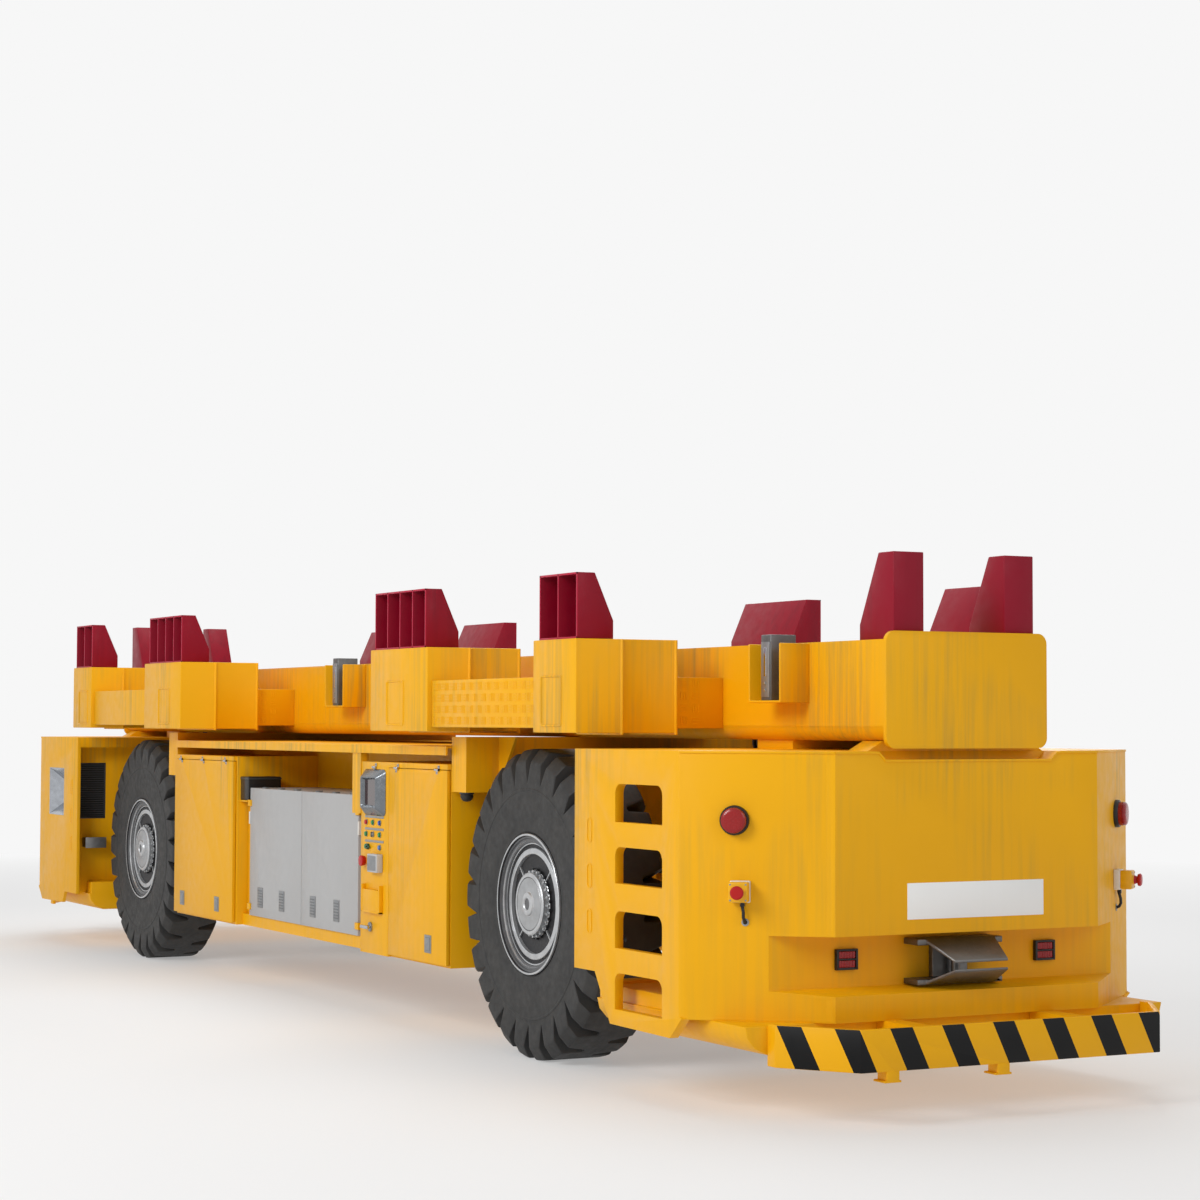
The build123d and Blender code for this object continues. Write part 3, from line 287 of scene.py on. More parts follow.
@dataclass(frozen=True)
class Paint(Finish):
    """Sprayed paint on steel plate, with faint rain streaks and orange peel.

    Attributes:
        streak_colour: Colour of the rain streaks.
        streak: How strong the streaks are, from 0 to 1.
        roughness: Mean roughness.
        peel: Strength of the orange peel.
    """

    streak_colour: Colour
    streak: float = 0.35
    roughness: float = 0.42
    peel: float = 0.08

    def base(self, graph: Graph) -> bpy.types.NodeSocket:
        """Makes the paint's colour.

        Args:
            graph: The material's graph.

        Returns:
            The colour socket.
        """
        streaks = graph.noise(scale=26.0, detail=6.0, stretch=(1.0, 1.0, 0.045))
        patches = graph.noise(scale=1.3, detail=3.0, stretch=(1.0, 1.0, 0.6))
        upper = graph.ramp(graph.axes(graph.here())["Z"], low=0.9, high=1.9, start=0.25, end=1.0)
        line = graph.ramp(streaks, low=0.42, high=0.76, start=0.0, end=1.0)
        patch = graph.ramp(patches, low=0.44, high=0.62, start=0.0, end=self.streak)
        amount = graph.math("MULTIPLY", line, graph.math("MULTIPLY", upper, patch))
        cloud = graph.cloud(2.3, 4.0, span=(0.3, 0.7), ends=(0.0, 0.10))
        return graph.mix(amount, graph.mix(cloud, self.colour, self.shaded(0.72)),
                         self.streak_colour)

    def dress(self, graph: Graph) -> None:
        """Sets up the shader of a new material.

        Args:
            graph: The material's graph.
        """
        rough = (self.roughness - 0.07, self.roughness + 0.08)
        graph.set(Base_Color=self.base(graph), Specular_IOR_Level=0.22,
                  Roughness=graph.cloud(14.0, 4.0, span=(0.3, 0.7), ends=rough))
        graph.bump(graph.noise(scale=240.0, detail=2.0), self.peel, distance=0.002)


@dataclass(frozen=True)
class StripedPaint(Paint):
    """Yellow paint with slanting black stripes along a bent bumper.

    Attributes:
        black: Colour of the stripes.
        period: Distance from one stripe to the next.
        share: Share of the period that is black.
        lean: Shift along the bumper for each metre of height.
        start: Where the first stripe starts.
        bend: Half width of the bumper's straight face.
        stretch: Added length for each metre past the bend.
        facing: How far a face has to look outward to take stripes, from 0 to 1.
    """

    black: Colour = srgb(5, 5, 6)
    period: float = 0.3333
    share: float = 0.43
    lean: float = 0.48
    start: float = 0.232
    bend: float = 1.0
    stretch: float = 0.7456
    facing: float = 0.4

    def base(self, graph: Graph) -> bpy.types.NodeSocket:
        """Makes the striped colour.

        Args:
            graph: The material's graph.

        Returns:
            The colour socket.
        """
        here = graph.axes(graph.here())
        end = graph.math("SIGN", here["X"])
        along = graph.math("MULTIPLY", here["Y"], end)
        below = graph.math("MINIMUM", graph.math("ADD", along, self.bend), 0.0)
        above = graph.math("MAXIMUM", graph.math("SUBTRACT", along, self.bend), 0.0)
        past = graph.math("ADD", below, above)
        run = graph.math("ADD", along, graph.math("MULTIPLY", past, self.stretch))
        leaned = graph.math("ADD", run, graph.math("MULTIPLY", here["Z"], self.lean))
        started = graph.math("ADD", leaned, self.start)
        phase = graph.math("FRACT", graph.math("DIVIDE", started, self.period))
        stripe = graph.math("LESS_THAN", phase, self.share)
        normal = graph.axes(graph.node("NewGeometry").outputs["Normal"])
        outward = graph.math("MULTIPLY", normal["X"], end)
        facing = graph.math("GREATER_THAN", outward, self.facing)
        return graph.mix(graph.math("MULTIPLY", stripe, facing), Paint.base(self, graph),
                         self.black)


@dataclass(frozen=True)
class Metal(Finish):
    """Bare or coated metal with fine scratches.

    Attributes:
        metallic: Metallic share.
        roughness: Mean roughness.
        grain: Strength of the surface grain.
    """

    metallic: float = 1.0
    roughness: float = 0.35
    grain: float = 0.10

    def dress(self, graph: Graph) -> None:
        """Sets up the shader of a new material.

        Args:
            graph: The material's graph.
        """
        cloud = graph.cloud(18.0, 5.0, span=(0.35, 0.65), ends=(0.0, 0.5))
        rough = (self.roughness - 0.06, self.roughness + 0.10)
        graph.set(Base_Color=graph.mix(cloud, self.colour, self.shaded(0.7)),
                  Metallic=self.metallic,
                  Roughness=graph.cloud(60.0, 4.0, span=(0.3, 0.7), ends=rough))
        graph.bump(graph.noise(scale=420.0, detail=3.0), self.grain, distance=0.001)


@dataclass(frozen=True)
class Rubber(Finish):
    """Tyre rubber, dusted a little and slightly uneven.

    Attributes:
        dust: Colour of the dust.
        dusting: Share of dust at its thickest.
        roughness: Least and most roughness.
        grain: Strength of the surface grain.
    """

    dust: Colour
    dusting: float = 0.35
    roughness: Pair = (0.55, 0.72)
    grain: float = 0.25

    def dress(self, graph: Graph) -> None:
        """Sets up the shader of a new material.

        Args:
            graph: The material's graph.
        """
        cloud = graph.cloud(7.0, 6.0, span=(0.38, 0.72), ends=(0.0, self.dusting))
        graph.set(Base_Color=graph.mix(cloud, self.colour, self.dust), Specular_IOR_Level=0.4,
                  Roughness=graph.cloud(25.0, 3.0, span=(0.3, 0.7), ends=self.roughness))
        graph.bump(graph.noise(scale=300.0, detail=4.0), self.grain, distance=0.0015)


@dataclass(frozen=True)
class Plastic(Finish):
    """Moulded plastic or lens.

    Attributes:
        roughness: Mean roughness.
        clear: Share of light let through.
        coat: Weight of the gloss coat.
        grain: Strength of the surface grain.
    """

    roughness: float = 0.3
    clear: float = 0.0
    coat: float = 0.2
    grain: float = 0.04

    def dress(self, graph: Graph) -> None:
        """Sets up the shader of a new material.

        Args:
            graph: The material's graph.
        """
        cloud = graph.cloud(30.0, 3.0, span=(0.35, 0.7), ends=(0.0, 0.35))
        rough = (self.roughness - 0.04, self.roughness + 0.06)
        graph.set(Base_Color=graph.mix(cloud, self.colour, self.shaded(0.75)),
                  Roughness=graph.cloud(80.0, 2.0, span=(0.3, 0.7), ends=rough),
                  Transmission_Weight=self.clear, Coat_Weight=self.coat, Specular_IOR_Level=0.3)
        graph.bump(graph.noise(scale=500.0, detail=2.0), self.grain, distance=0.0008)


class Finishes:
    """The vehicle's finishes by what they cover."""

    yellow = Paint("safety_yellow", srgb(240, 175, 6), srgb(142, 128, 72), streak=0.6)
    striped = StripedPaint("bumper_stripes", srgb(240, 175, 6), srgb(142, 128, 72), streak=0.1)
    crimson = Paint("crimson_guides", srgb(140, 4, 34), srgb(86, 8, 26), streak=0.4)
    grey = Paint("battery_grey", srgb(178, 178, 178), srgb(150, 150, 150), streak=0.2, peel=0.05)
    dark_paint = Paint("graphite_paint", srgb(58, 58, 60), srgb(44, 42, 40), streak=0.3)
    cast = Metal("cast_steel", srgb(62, 62, 64), metallic=0.75, roughness=0.45)
    rim = Metal("rim_steel", srgb(104, 105, 107), metallic=0.6, roughness=0.42)
    bright = Metal("bright_steel", srgb(188, 190, 194), metallic=1.0, roughness=0.26)
    chrome = Metal("bevel_chrome", srgb(176, 180, 186), metallic=1.0, roughness=0.16, grain=0.03)
    screen_frame = Metal("screen_frame", srgb(122, 126, 130), metallic=1.0, roughness=0.2,
                         grain=0.03)
    coupling = Metal("coupling_steel", srgb(112, 110, 108), metallic=0.75, roughness=0.36)
    post = Metal("post_steel", srgb(104, 104, 104), metallic=0.6, roughness=0.4)
    # Lighter crimson, painted highlights on the side guides' rib edges
    crimson_highlight = Paint("crimson_highlight_paint", srgb(178, 34, 62), srgb(120, 20, 40), streak=0.1)
    zinc = Metal("zinc_fittings", srgb(150, 152, 154), metallic=0.8, roughness=0.38)
    tyre = Rubber("tyre_rubber", srgb(42, 42, 42), srgb(80, 78, 74), dusting=0.22)
    buffer = Rubber("rubber_blocks", srgb(34, 34, 34), srgb(60, 58, 54), dusting=0.25)
    black = Plastic("housing_black", srgb(26, 26, 27), roughness=0.45)
    lens = Plastic("lamp_red", srgb(150, 10, 10), roughness=0.25, coat=0.3)
    stop_red = Plastic("stop_red", srgb(180, 8, 7), roughness=0.36, coat=0.1)
    stop_yellow = Plastic("button_box_yellow", srgb(240, 180, 16), roughness=0.35)
    stop_white = Plastic("stop_white", srgb(226, 224, 218), roughness=0.4)
    glass = Plastic("smoked_window", srgb(54, 64, 82), roughness=0.2, coat=0.5)
    # Dark steel, painted shade in the wheels' gutters, recessed disc face and back
    rim_dark = Metal("rim_shade", srgb(48, 48, 50), metallic=0.5, roughness=0.5)
    hub = Metal("hub_steel", srgb(172, 174, 176), metallic=0.6, roughness=0.38)
    ring = Metal("ring_steel", srgb(196, 198, 200), metallic=0.7, roughness=0.34)
    graphite = Plastic("graphite_plastic", srgb(58, 60, 62), roughness=0.4)
    steel_grey = Paint("vent_grey", srgb(116, 118, 120), srgb(100, 100, 100), streak=0.1)
    pale_grey = Paint("pale_grey_box", srgb(190, 192, 194), srgb(160, 160, 160), streak=0.1)
    label = Paint("label_strip", srgb(150, 150, 146), srgb(130, 130, 126), streak=0.0)
    plate_white = Paint("white_plate", srgb(246, 246, 244), srgb(222, 218, 206), streak=0.1)
    screen = Plastic("screen_glass", srgb(52, 20, 18), roughness=0.08, coat=1.0)
    green = Plastic("green_button", srgb(24, 132, 62), roughness=0.3)
    green_dark = Plastic("green_knob", srgb(20, 74, 44), roughness=0.35)
    blue = Plastic("blue_button", srgb(24, 70, 160), roughness=0.3)
    pale_blue = Plastic("blue_ring", srgb(70, 120, 190), roughness=0.3)


def smooth(mesh: bpy.types.Mesh, angle: float) -> None:
    """Shades a mesh smooth, with edges over an angle kept sharp.

    Args:
        mesh: The mesh.
        angle: The angle in degrees.
    """
    mesh.shade_smooth()
    mesh.set_sharp_from_angle(angle=radians(angle))


def piece(shape: bmesh.types.BMesh, name: str, body: str, slot: str,
          materials: Sequence[bpy.types.Material],
          nodes: Iterable[str] = (), angle: float = 34.0) -> bpy.types.Object:
    """Turns a bmesh into an object that rides on a body.

    Args:
        shape: The finished bmesh, freed here.
        name: The object's name.
        body: The body that it moves with.
        slot: The record's material slot; not used.
        materials: Its materials in slot order.
        nodes: The solids that it stands for.
        angle: Edges over this angle in degrees stay sharp.

    Returns:
        The new object.
    """
    mesh = bpy.data.meshes.new(name)
    shape.to_mesh(mesh)
    shape.free()
    for material in materials:
        mesh.materials.append(material)
    smooth(mesh, angle)
    made = bpy.data.objects.new(name, mesh)
    bpy.context.collection.objects.link(made)
    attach(made, body)
    if nodes:
        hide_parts(*nodes)
    LOG.info("%s: %d faces on %s", name, len(mesh.polygons), body)
    return made


def face_frame(origin: Sequence[float], out: Sequence[float],
               up: Sequence[float] = (0.0, 0.0, 1.0)) -> Matrix:
    """Makes a frame on a face, with its third axis pointing out of the face.

    Args:
        origin: The frame's origin.
        out: Direction out of the face.
        up: Direction that the second axis leans to.

    Returns:
        The frame as a matrix.
    """
    third = Vector(out).normalized()
    second = (Vector(up) - third * Vector(up).dot(third)).normalized()
    turn = Matrix((second.cross(third), second, third)).transposed().to_4x4()
    return Matrix.Translation(Vector(origin)) @ turn


def turned_span(sign: int, first: float, second: float) -> Pair:
    """Gives a span along an axis that may run the other way, low end first.

    Args:
        sign: 1 where the axis runs the span's way and -1 where it runs back.
        first: Where the span starts.
        second: Where it ends.

    Returns:
        Its low and high end on the axis.
    """
    low, high = sorted((sign * first, sign * second))
    return low, high


def skin(mesh: bmesh.types.BMesh, rings: Sequence[Sequence[bmesh.types.BMVert]]) -> None:
    """Joins each closed ring of vertices to the next one with a band of faces.

    Args:
        mesh: The mesh that has the vertices.
        rings: The rings, each with as many vertices.
    """
    for first, second in zip(rings, rings[1:]):
        for here in range(len(first)):
            after = (here + 1) % len(first)
            mesh.faces.new((first[here], first[after], second[after], second[here]))


def round_edges(mesh: bmesh.types.BMesh, edges: Sequence[bmesh.types.BMEdge], width: float,
                segments: int = 2) -> None:
    """Rounds edges of a mesh.

    Args:
        mesh: The mesh.
        edges: The edges.
        width: Width of the rounding.
        segments: Its segments.
    """
    bmesh.ops.bevel(mesh, geom=edges, offset=width, offset_type="OFFSET", segments=segments,
                    profile=0.5, affect="EDGES", clamp_overlap=True, material=-1)


class Shape:
    """A mesh that grows piece by piece, with a finish for each piece.

    Attributes:
        weld: Distance under which vertices of a turned body are one.
    """

    weld = 0.00002

    def __init__(self) -> None:
        """Starts an empty mesh."""
        self.mesh = bmesh.new()
        self.store = bpy.data.meshes.new("store")
        self.materials: list[bpy.types.Material] = []

    def index(self, finish: Finish) -> int:
        """Finds a finish's place in the mesh's list, adding it if it is new.

        Args:
            finish: The finish.

        Returns:
            The material index.
        """
        material = finish.material()
        if material not in self.materials:
            self.materials.append(material)
        return self.materials.index(material)

    def join(self, part: bmesh.types.BMesh, place: Matrix, finish: Optional[Finish] = None) -> None:
        """Moves a small mesh into place and adds it.

        Args:
            part: The small mesh, freed here.
            place: The frame that it was drawn in.
            finish: Its finish, or None where its faces already have theirs.
        """
        bmesh.ops.transform(part, matrix=place, verts=part.verts)
        if finish is not None:
            number = self.index(finish)
            for face in part.faces:
                face.material_index = number
        part.to_mesh(self.store)
        part.free()
        self.mesh.from_mesh(self.store)

    def box(self, low: Triple, high: Triple, finish: Finish, place: Matrix = IDENTITY,
            rounding: float = 0.0, segments: int = 2) -> None:
        """Adds a box.

        Args:
            low: Its low corner in the frame.
            high: Its high corner in the frame.
            finish: Its finish.
            place: The frame.
            rounding: Radius of its edges.
            segments: Segments of each rounded edge.
        """
        size = Vector(high) - Vector(low)
        middle = (Vector(high) + Vector(low)) / 2
        part = bmesh.new()
        bmesh.ops.create_cube(part, size=1.0, matrix=Matrix.LocRotScale(middle, None, size))
        if rounding:
            round_edges(part, part.edges[:], rounding, segments)
        self.join(part, place, finish)

    def prism(self, outline: Sequence[Pair], low: float, high: float, finish: Finish,
              place: Matrix = IDENTITY, rounding: float = 0.0) -> None:
        """Adds a plate with a polygon outline.

        Args:
            outline: Corners in the frame's first two axes.
            low: Where it starts along the third axis.
            high: Where it ends.
            finish: Its finish.
            place: The frame.
            rounding: Radius of its edges.
        """
        part = bmesh.new()
        face = part.faces.new([part.verts.new((u, v, low)) for u, v in outline])
        grown = bmesh.ops.extrude_face_region(part, geom=[face])
        raised = [item for item in grown["geom"] if isinstance(item, bmesh.types.BMVert)]
        bmesh.ops.translate(part, verts=raised, vec=(0, 0, high - low))
        bmesh.ops.recalc_face_normals(part, faces=part.faces)
        if rounding:
            round_edges(part, part.edges[:], rounding)
        self.join(part, place, finish)

    def drum(self, middle: Pair, low: float, high: float, radius: float, finish: Finish,
             place: Matrix, sides: int = 32, top: Optional[float] = None,
             rounding: float = 0.0) -> None:
        """Adds a round or many-sided post that stands on the frame.

        Args:
            middle: Its middle in the frame's first two axes.
            low: Where it starts along the third axis.
            high: Where it ends.
            radius: Its radius.
            finish: Its finish.
            place: The frame.
            sides: Its number of sides.
            top: Its radius at the top, if it tapers.
            rounding: Radius of its top edge.
        """
        part = bmesh.new()
        centre = Matrix.Translation((middle[0], middle[1], (low + high) / 2))
        bmesh.ops.create_cone(part, cap_ends=True, segments=sides, radius1=radius,
                              radius2=radius if top is None else top, depth=high - low,
                              matrix=centre)
        if rounding:
            half = (low + high) / 2
            rim = [edge for edge in part.edges if all(vert.co.z > half for vert in edge.verts)]
            round_edges(part, rim, rounding, segments=4)
        self.join(part, place, finish)

    def lathe(self, profile: Sequence[tuple[float, float, Finish]], place: Matrix,
              steps: int = 96) -> None:
        """Adds a turned body round the frame's third axis.

        Args:
            profile: Distance along the axis, distance from it, and the finish up to the next point.
            place: The frame.
            steps: Segments of the turn.
        """
        part = bmesh.new()
        verts = [part.verts.new((reach, 0, along)) for along, reach, _ in profile]
        edges = [part.edges.new(pair) for pair in zip(verts, verts[1:])]
        bmesh.ops.spin(part, geom=verts + edges, cent=(0, 0, 0), axis=(0, 0, 1), angle=2 * pi,
                       steps=steps, use_merge=True)
        middles = {}
        for row, (start, end) in enumerate(zip(profile, profile[1:])):
            middles[(round((start[0] + end[0]) / 2, 5), round((start[1] + end[1]) / 2, 4))] = row
        for face in part.faces:
            along = sum(vert.co.z for vert in face.verts) / len(face.verts)
            reach = sum(hypot(vert.co.x, vert.co.y) for vert in face.verts) / len(face.verts)
            best = min(middles, key=lambda spot: abs(spot[0] - along) + abs(spot[1] - reach))
            face.material_index = self.index(profile[middles[best]][2])
        bmesh.ops.remove_doubles(part, verts=part.verts, dist=self.weld)
        bmesh.ops.recalc_face_normals(part, faces=part.faces)
        self.join(part, place)

    def tube(self, path: Sequence[Sequence[float]], radius: float, finish: Finish,
             place: Matrix = IDENTITY, sides: int = 12) -> None:
        """Adds a bent tube with closed ends.

        Args:
            path: Points of its centre line in the frame.
            radius: Its radius.
            finish: Its finish.
            place: The frame.
            sides: Its number of sides.
        """
        part = bmesh.new()
        points = [Vector(point) for point in path]
        rings = []
        for number, point in enumerate(points):
            ahead = points[min(number + 1, len(points) - 1)] - points[max(number - 1, 0)]
            turn = ahead.to_track_quat("Z", "Y").to_matrix().to_4x4()
            ring = bmesh.ops.create_circle(part, cap_ends=False, segments=sides, radius=radius,
                                           matrix=Matrix.Translation(point) @ turn)["verts"]
            rings.append([edge for edge in part.edges if all(vert in ring for vert in edge.verts)])
        for first, second in zip(rings, rings[1:]):
            bmesh.ops.bridge_loops(part, edges=first + second)
        bmesh.ops.holes_fill(part, edges=[edge for edge in part.edges if edge.is_boundary], sides=0)
        bmesh.ops.recalc_face_normals(part, faces=part.faces)
        self.join(part, place, finish)

    def done(self, name: str, body: str, slot: str, nodes: Iterable[str] = (), angle: float = 34.0
             ) -> bpy.types.Object:
        """Turns the mesh into an object.

        Args:
            name: The object's name.
            body: The body that it moves with.
            slot: The record's material slot; passed on, but not used.
            nodes: The solids that it stands for.
            angle: Edges over this angle in degrees stay sharp.

        Returns:
            The new object.
        """
        bpy.data.meshes.remove(self.store)
        return piece(self.mesh, name, body, slot, self.materials, nodes, angle)


@dataclass
class Tyre:
    """A tyre with tapered grooves that run over each shoulder.

    Attributes:
        pitches: Number of grooves on each side.
        columns: Columns of faces from one groove to the next.
        root: Across, reach and shift of a groove's outer end.
        tip: Across, reach and shift of its inner end.
        slope: Half width of a groove for each metre of its depth.
        worn: Width of the rounded edge along a groove.
        least: Half width of the column of faces where no groove runs.
        middle: Distance across, within which the rows lie on the tread's middle.
        worn_share: Share of the rounded edge's width by which the edge is drawn in.
        shallow: Depth from which a groove has a bottom.
        deep: Depth from which its edges are rounded.
        rows: Across, reach, and whether a groove runs through, of each row of one side.
    """

    pitches: int = 26
    columns: int = 16
    root: Triple = (0.258, 0.756, -0.020)
    tip: Triple = (0.060, 0.925, 0.040)
    slope: float = 0.35
    worn: float = 0.006
    least: float = 0.002
    middle: float = 0.1
    worn_share: float = 0.45
    shallow: float = 0.004
    deep: float = 0.01
    rows: tuple[tuple[float, float, bool], ...] = (
        (0.205, 0.4480, False), (0.232, 0.4500, False), (0.2385, 0.4600, False),
        (0.2410, 0.4640, False), (0.2415, 0.5000, False), (0.2440, 0.5060, False),
        (0.2462, 0.5700, False), (0.2478, 0.6300, False), (0.2478, 0.6750, False),
        (0.2470, 0.7060, False), (0.2468, 0.7180, False), (0.2496, 0.7220, False),
        (0.2496, 0.7320, False), (0.2466, 0.7360, False), (0.2464, 0.7480, False),
        (0.2465, 0.7650, True), (0.2476, 0.7900, True), (0.2488, 0.8200, True),
        (0.2496, 0.8550, True), (0.2498, 0.8850, True), (0.2490, 0.9030, True),
        (0.2455, 0.9120, True), (0.2300, 0.9370, True), (0.2150, 0.9610, True),
        (0.2050, 0.9760, True), (0.1960, 0.9832, True), (0.1800, 0.9850, True),
        (0.1500, 0.9850, True), (0.1150, 0.9850, True), (0.0850, 0.9850, True),
        (0.0640, 0.9850, True), (0.0560, 0.9850, False), (0.0280, 0.9850, False),
    )

    def ridge(self, share: float) -> Triple:
        """Gives a point on a groove's bottom line.

        Args:
            share: Share of the way from the outer end to the inner one.

        Returns:
            Across, reach and shift.
        """
        return tuple(a + share * (b - a) for a, b in zip(self.root, self.tip))

    def side(self) -> list[list[Triple]]:
        """Lays out the rows of one side for one pitch.

        Returns:
            For each row its columns as across, reach and shift along the tread.
        """
        grooved = [row[:2] for row in self.rows if row[2]]
        lengths = [0.0]
        for first, second in zip(grooved, grooved[1:]):
            lengths.append(lengths[-1] + hypot(second[0] - first[0], second[1] - first[1]))
        run = (self.tip[0] - self.root[0], self.tip[1] - self.root[1])
        slant = (run[0] / hypot(*run), run[1] / hypot(*run))
        start = (self.root[0] - grooved[0][0]) / (self.root[0] - self.tip[0])
        lug = self.columns - 5
        laid = []
        for across, reach, cut in self.rows:
            share = 1.0 if across <= self.middle else 0.0
            deep = 0.0
            if cut:
                done = lengths[grooved.index((across, reach))] / lengths[-1]
                share = start + done * (1.0 - start)
                gap = (across - self.root[0], reach - self.root[1])
                deep = abs(gap[0] * slant[1] - gap[1] * slant[0])
            bottom = self.ridge(share)
            shift = bottom[2]
            half = max(self.slope * deep, self.least)
            edge = self.worn_share * self.worn if deep > self.deep else 0.0
            inward = (bottom[0] - across, bottom[1] - reach)
            scale = edge / max(hypot(*inward), 0.0001)
            dropped = (across + scale * inward[0], reach + scale * inward[1])
            pitch = 2 * pi * reach / self.pitches
            free = pitch - 2 * (half + self.worn)
            top = shift + half + self.worn
            row = [(bottom[0], bottom[1], shift) if deep > self.shallow else (across, reach, shift),
                   (*dropped, shift + half), (across, reach, top)]
            row += [(across, reach, top + (step + 1) * free / (lug + 1)) for step in range(lug)]
            row += [(across, reach, shift + pitch - half - self.worn),
                    (*dropped, shift + pitch - half)]
            laid.append(row)
        return laid

    def build(self, name: str, body: str, place: Matrix, node: str) -> None:
        """Builds the tyre.

        Args:
            name: The object's name.
            body: The body that it moves with.
            place: The wheel's frame, with its third axis out along the axle.
            node: The solid that it stands for.
        """
        side = self.side()
        half = self.columns // 2
        mesh = bmesh.new()
        rings = []
        for hand, rows in ((1, side), (-1, list(reversed(side)))):
            for row in rows:
                ring = []
                for pitch in range(self.pitches):
                    for column in range(self.columns):
                        index = column if hand > 0 else (column - half) % self.columns
                        wrap = 0.0 if hand > 0 else (0.5 if column >= half else -0.5)
                        across, reach, shift = row[index]
                        level = row[3][1]
                        angle = 2 * pi * (pitch + wrap) / self.pitches + shift / level
                        ring.append(mesh.verts.new((reach * sin(angle), reach * cos(angle),
                                                    hand * across)))
                rings.append(ring)
        skin(mesh, rings + rings[:1])
        bmesh.ops.recalc_face_normals(mesh, faces=mesh.faces)
        bmesh.ops.transform(mesh, matrix=place, verts=mesh.verts)
        piece(mesh, name, body, "tyre", [Finishes.tyre.material()], [node], angle=30.0)


@dataclass
class Wheel:
    """A steel wheel with stepped rings, a bolted hub and a cap.

    Attributes:
        bolts: Number of hub bolts.
        bolt_circle: Distance of the bolts from the axle.
        plug_circle: Distance of the dark plugs between them.
        webs: Number of short webs between the rings.
    """

    bolts: int = 24
    bolt_circle: float = 0.2065
    plug_circle: float = 0.2165
    webs: int = 4

    def build(self, name: str, body: str, place: Matrix, node: str) -> None:
        """Builds the wheel.

        Args:
            name: The object's name.
            body: The body that it moves with.
            place: The wheel's frame, with its third axis out along the axle.
            node: The solid that it stands for.
        """
        dark, rim, bright, hub = Finishes.rim_dark, Finishes.rim, Finishes.ring, Finishes.hub
        shape = Shape()
        # The dark finish on the gutter steps, the recessed disc face and the wheel's back is
        # painted shade
        shape.lathe([
            (-0.250, 0.447, dark), (0.236, 0.4472, bright), (0.248, 0.4470, bright),
            (0.2500, 0.4450, bright), (0.2500, 0.4340, dark), (0.2470, 0.4310, dark),
            (0.2380, 0.4290, rim), (0.2370, 0.4180, rim), (0.2280, 0.4150, rim),
            (0.2270, 0.4040, bright), (0.2180, 0.4010, rim), (0.2170, 0.3900, rim),
            (0.2080, 0.3870, bright), (0.2070, 0.3800, rim), (0.1960, 0.3770, dark),
            (0.1950, 0.3560, bright), (0.2050, 0.3540, bright), (0.2070, 0.3510, bright),
            (0.2090, 0.3200, bright), (0.2070, 0.3170, bright), (0.1860, 0.3150, dark),
            (0.1840, 0.3100, dark), (0.1840, 0.2180, dark), (0.1960, 0.2160, bright),
            (0.1990, 0.2130, bright), (0.1990, 0.1990, bright), (0.2330, 0.1980, bright),
            (0.2390, 0.1900, bright), (0.2390, 0.1720, rim), (0.2370, 0.1700, rim),
            (0.2370, 0.1660, hub), (0.2390, 0.1640, hub), (0.2390, 0.0800, bright),
            (0.2400, 0.0770, bright), (0.2520, 0.0710, bright), (0.2560, 0.0620, bright),
            (0.2560, 0.0420, bright), (0.2500, 0.0370, rim), (0.2500, 0.0, rim)], place, steps=120)
        shape.lathe([
            (-0.250, 0.447, dark), (-0.250, 0.391, dark), (0.155, 0.391, dark),
            (0.155, 0.200, dark), (-0.040, 0.200, dark), (-0.040, 0.0, dark)], place, steps=72)
        for number in range(self.bolts):
            angle = 2 * pi * number / self.bolts
            middle = (self.bolt_circle * cos(angle), self.bolt_circle * sin(angle))
            shape.drum(middle, 0.190, 0.2120, 0.0098, bright, place, sides=6, rounding=0.0012)
            angle += pi / self.bolts
            middle = (self.plug_circle * cos(angle), self.plug_circle * sin(angle))
            shape.drum(middle, 0.184, 0.2020, 0.0105, dark, place, sides=12)
        for number in range(self.webs):
            turn = place @ Matrix.Rotation(2 * pi * (number + 0.5) / self.webs, 4, "Z")
            shape.box((0.224, -0.004, 0.180), (0.314, 0.004, 0.196), bright, turn, rounding=0.001)
        shape.done(name, body, "rim", [node], angle=30.0)


@dataclass
class RunningGear:
    """The four wheels and tyres.

    Attributes:
        axle_x: Distance of each axle from the vehicle's middle.
        middle_y: Distance of each tyre's middle plane from the vehicle's middle.
        height: Height of the axles.
    """

    axle_x: float = 3.967
    middle_y: float = 1.050
    height: float = 0.985

    def build(self) -> None:
        """Builds each wheel and tyre."""
        for end, along in ENDS:
            for side, hand in SIDES:
                place = face_frame((along * self.axle_x, hand * self.middle_y, self.height),
                                   (0, hand, 0))
                body = f"wheel_{end}_{side}"
                Tyre().build(f"tyre_{end}_{side}_rubber", body, place, f"tyre_{end}_{side}")
                Wheel().build(f"wheel_{end}_{side}_steel", body, place, f"wheel_{end}_{side}")


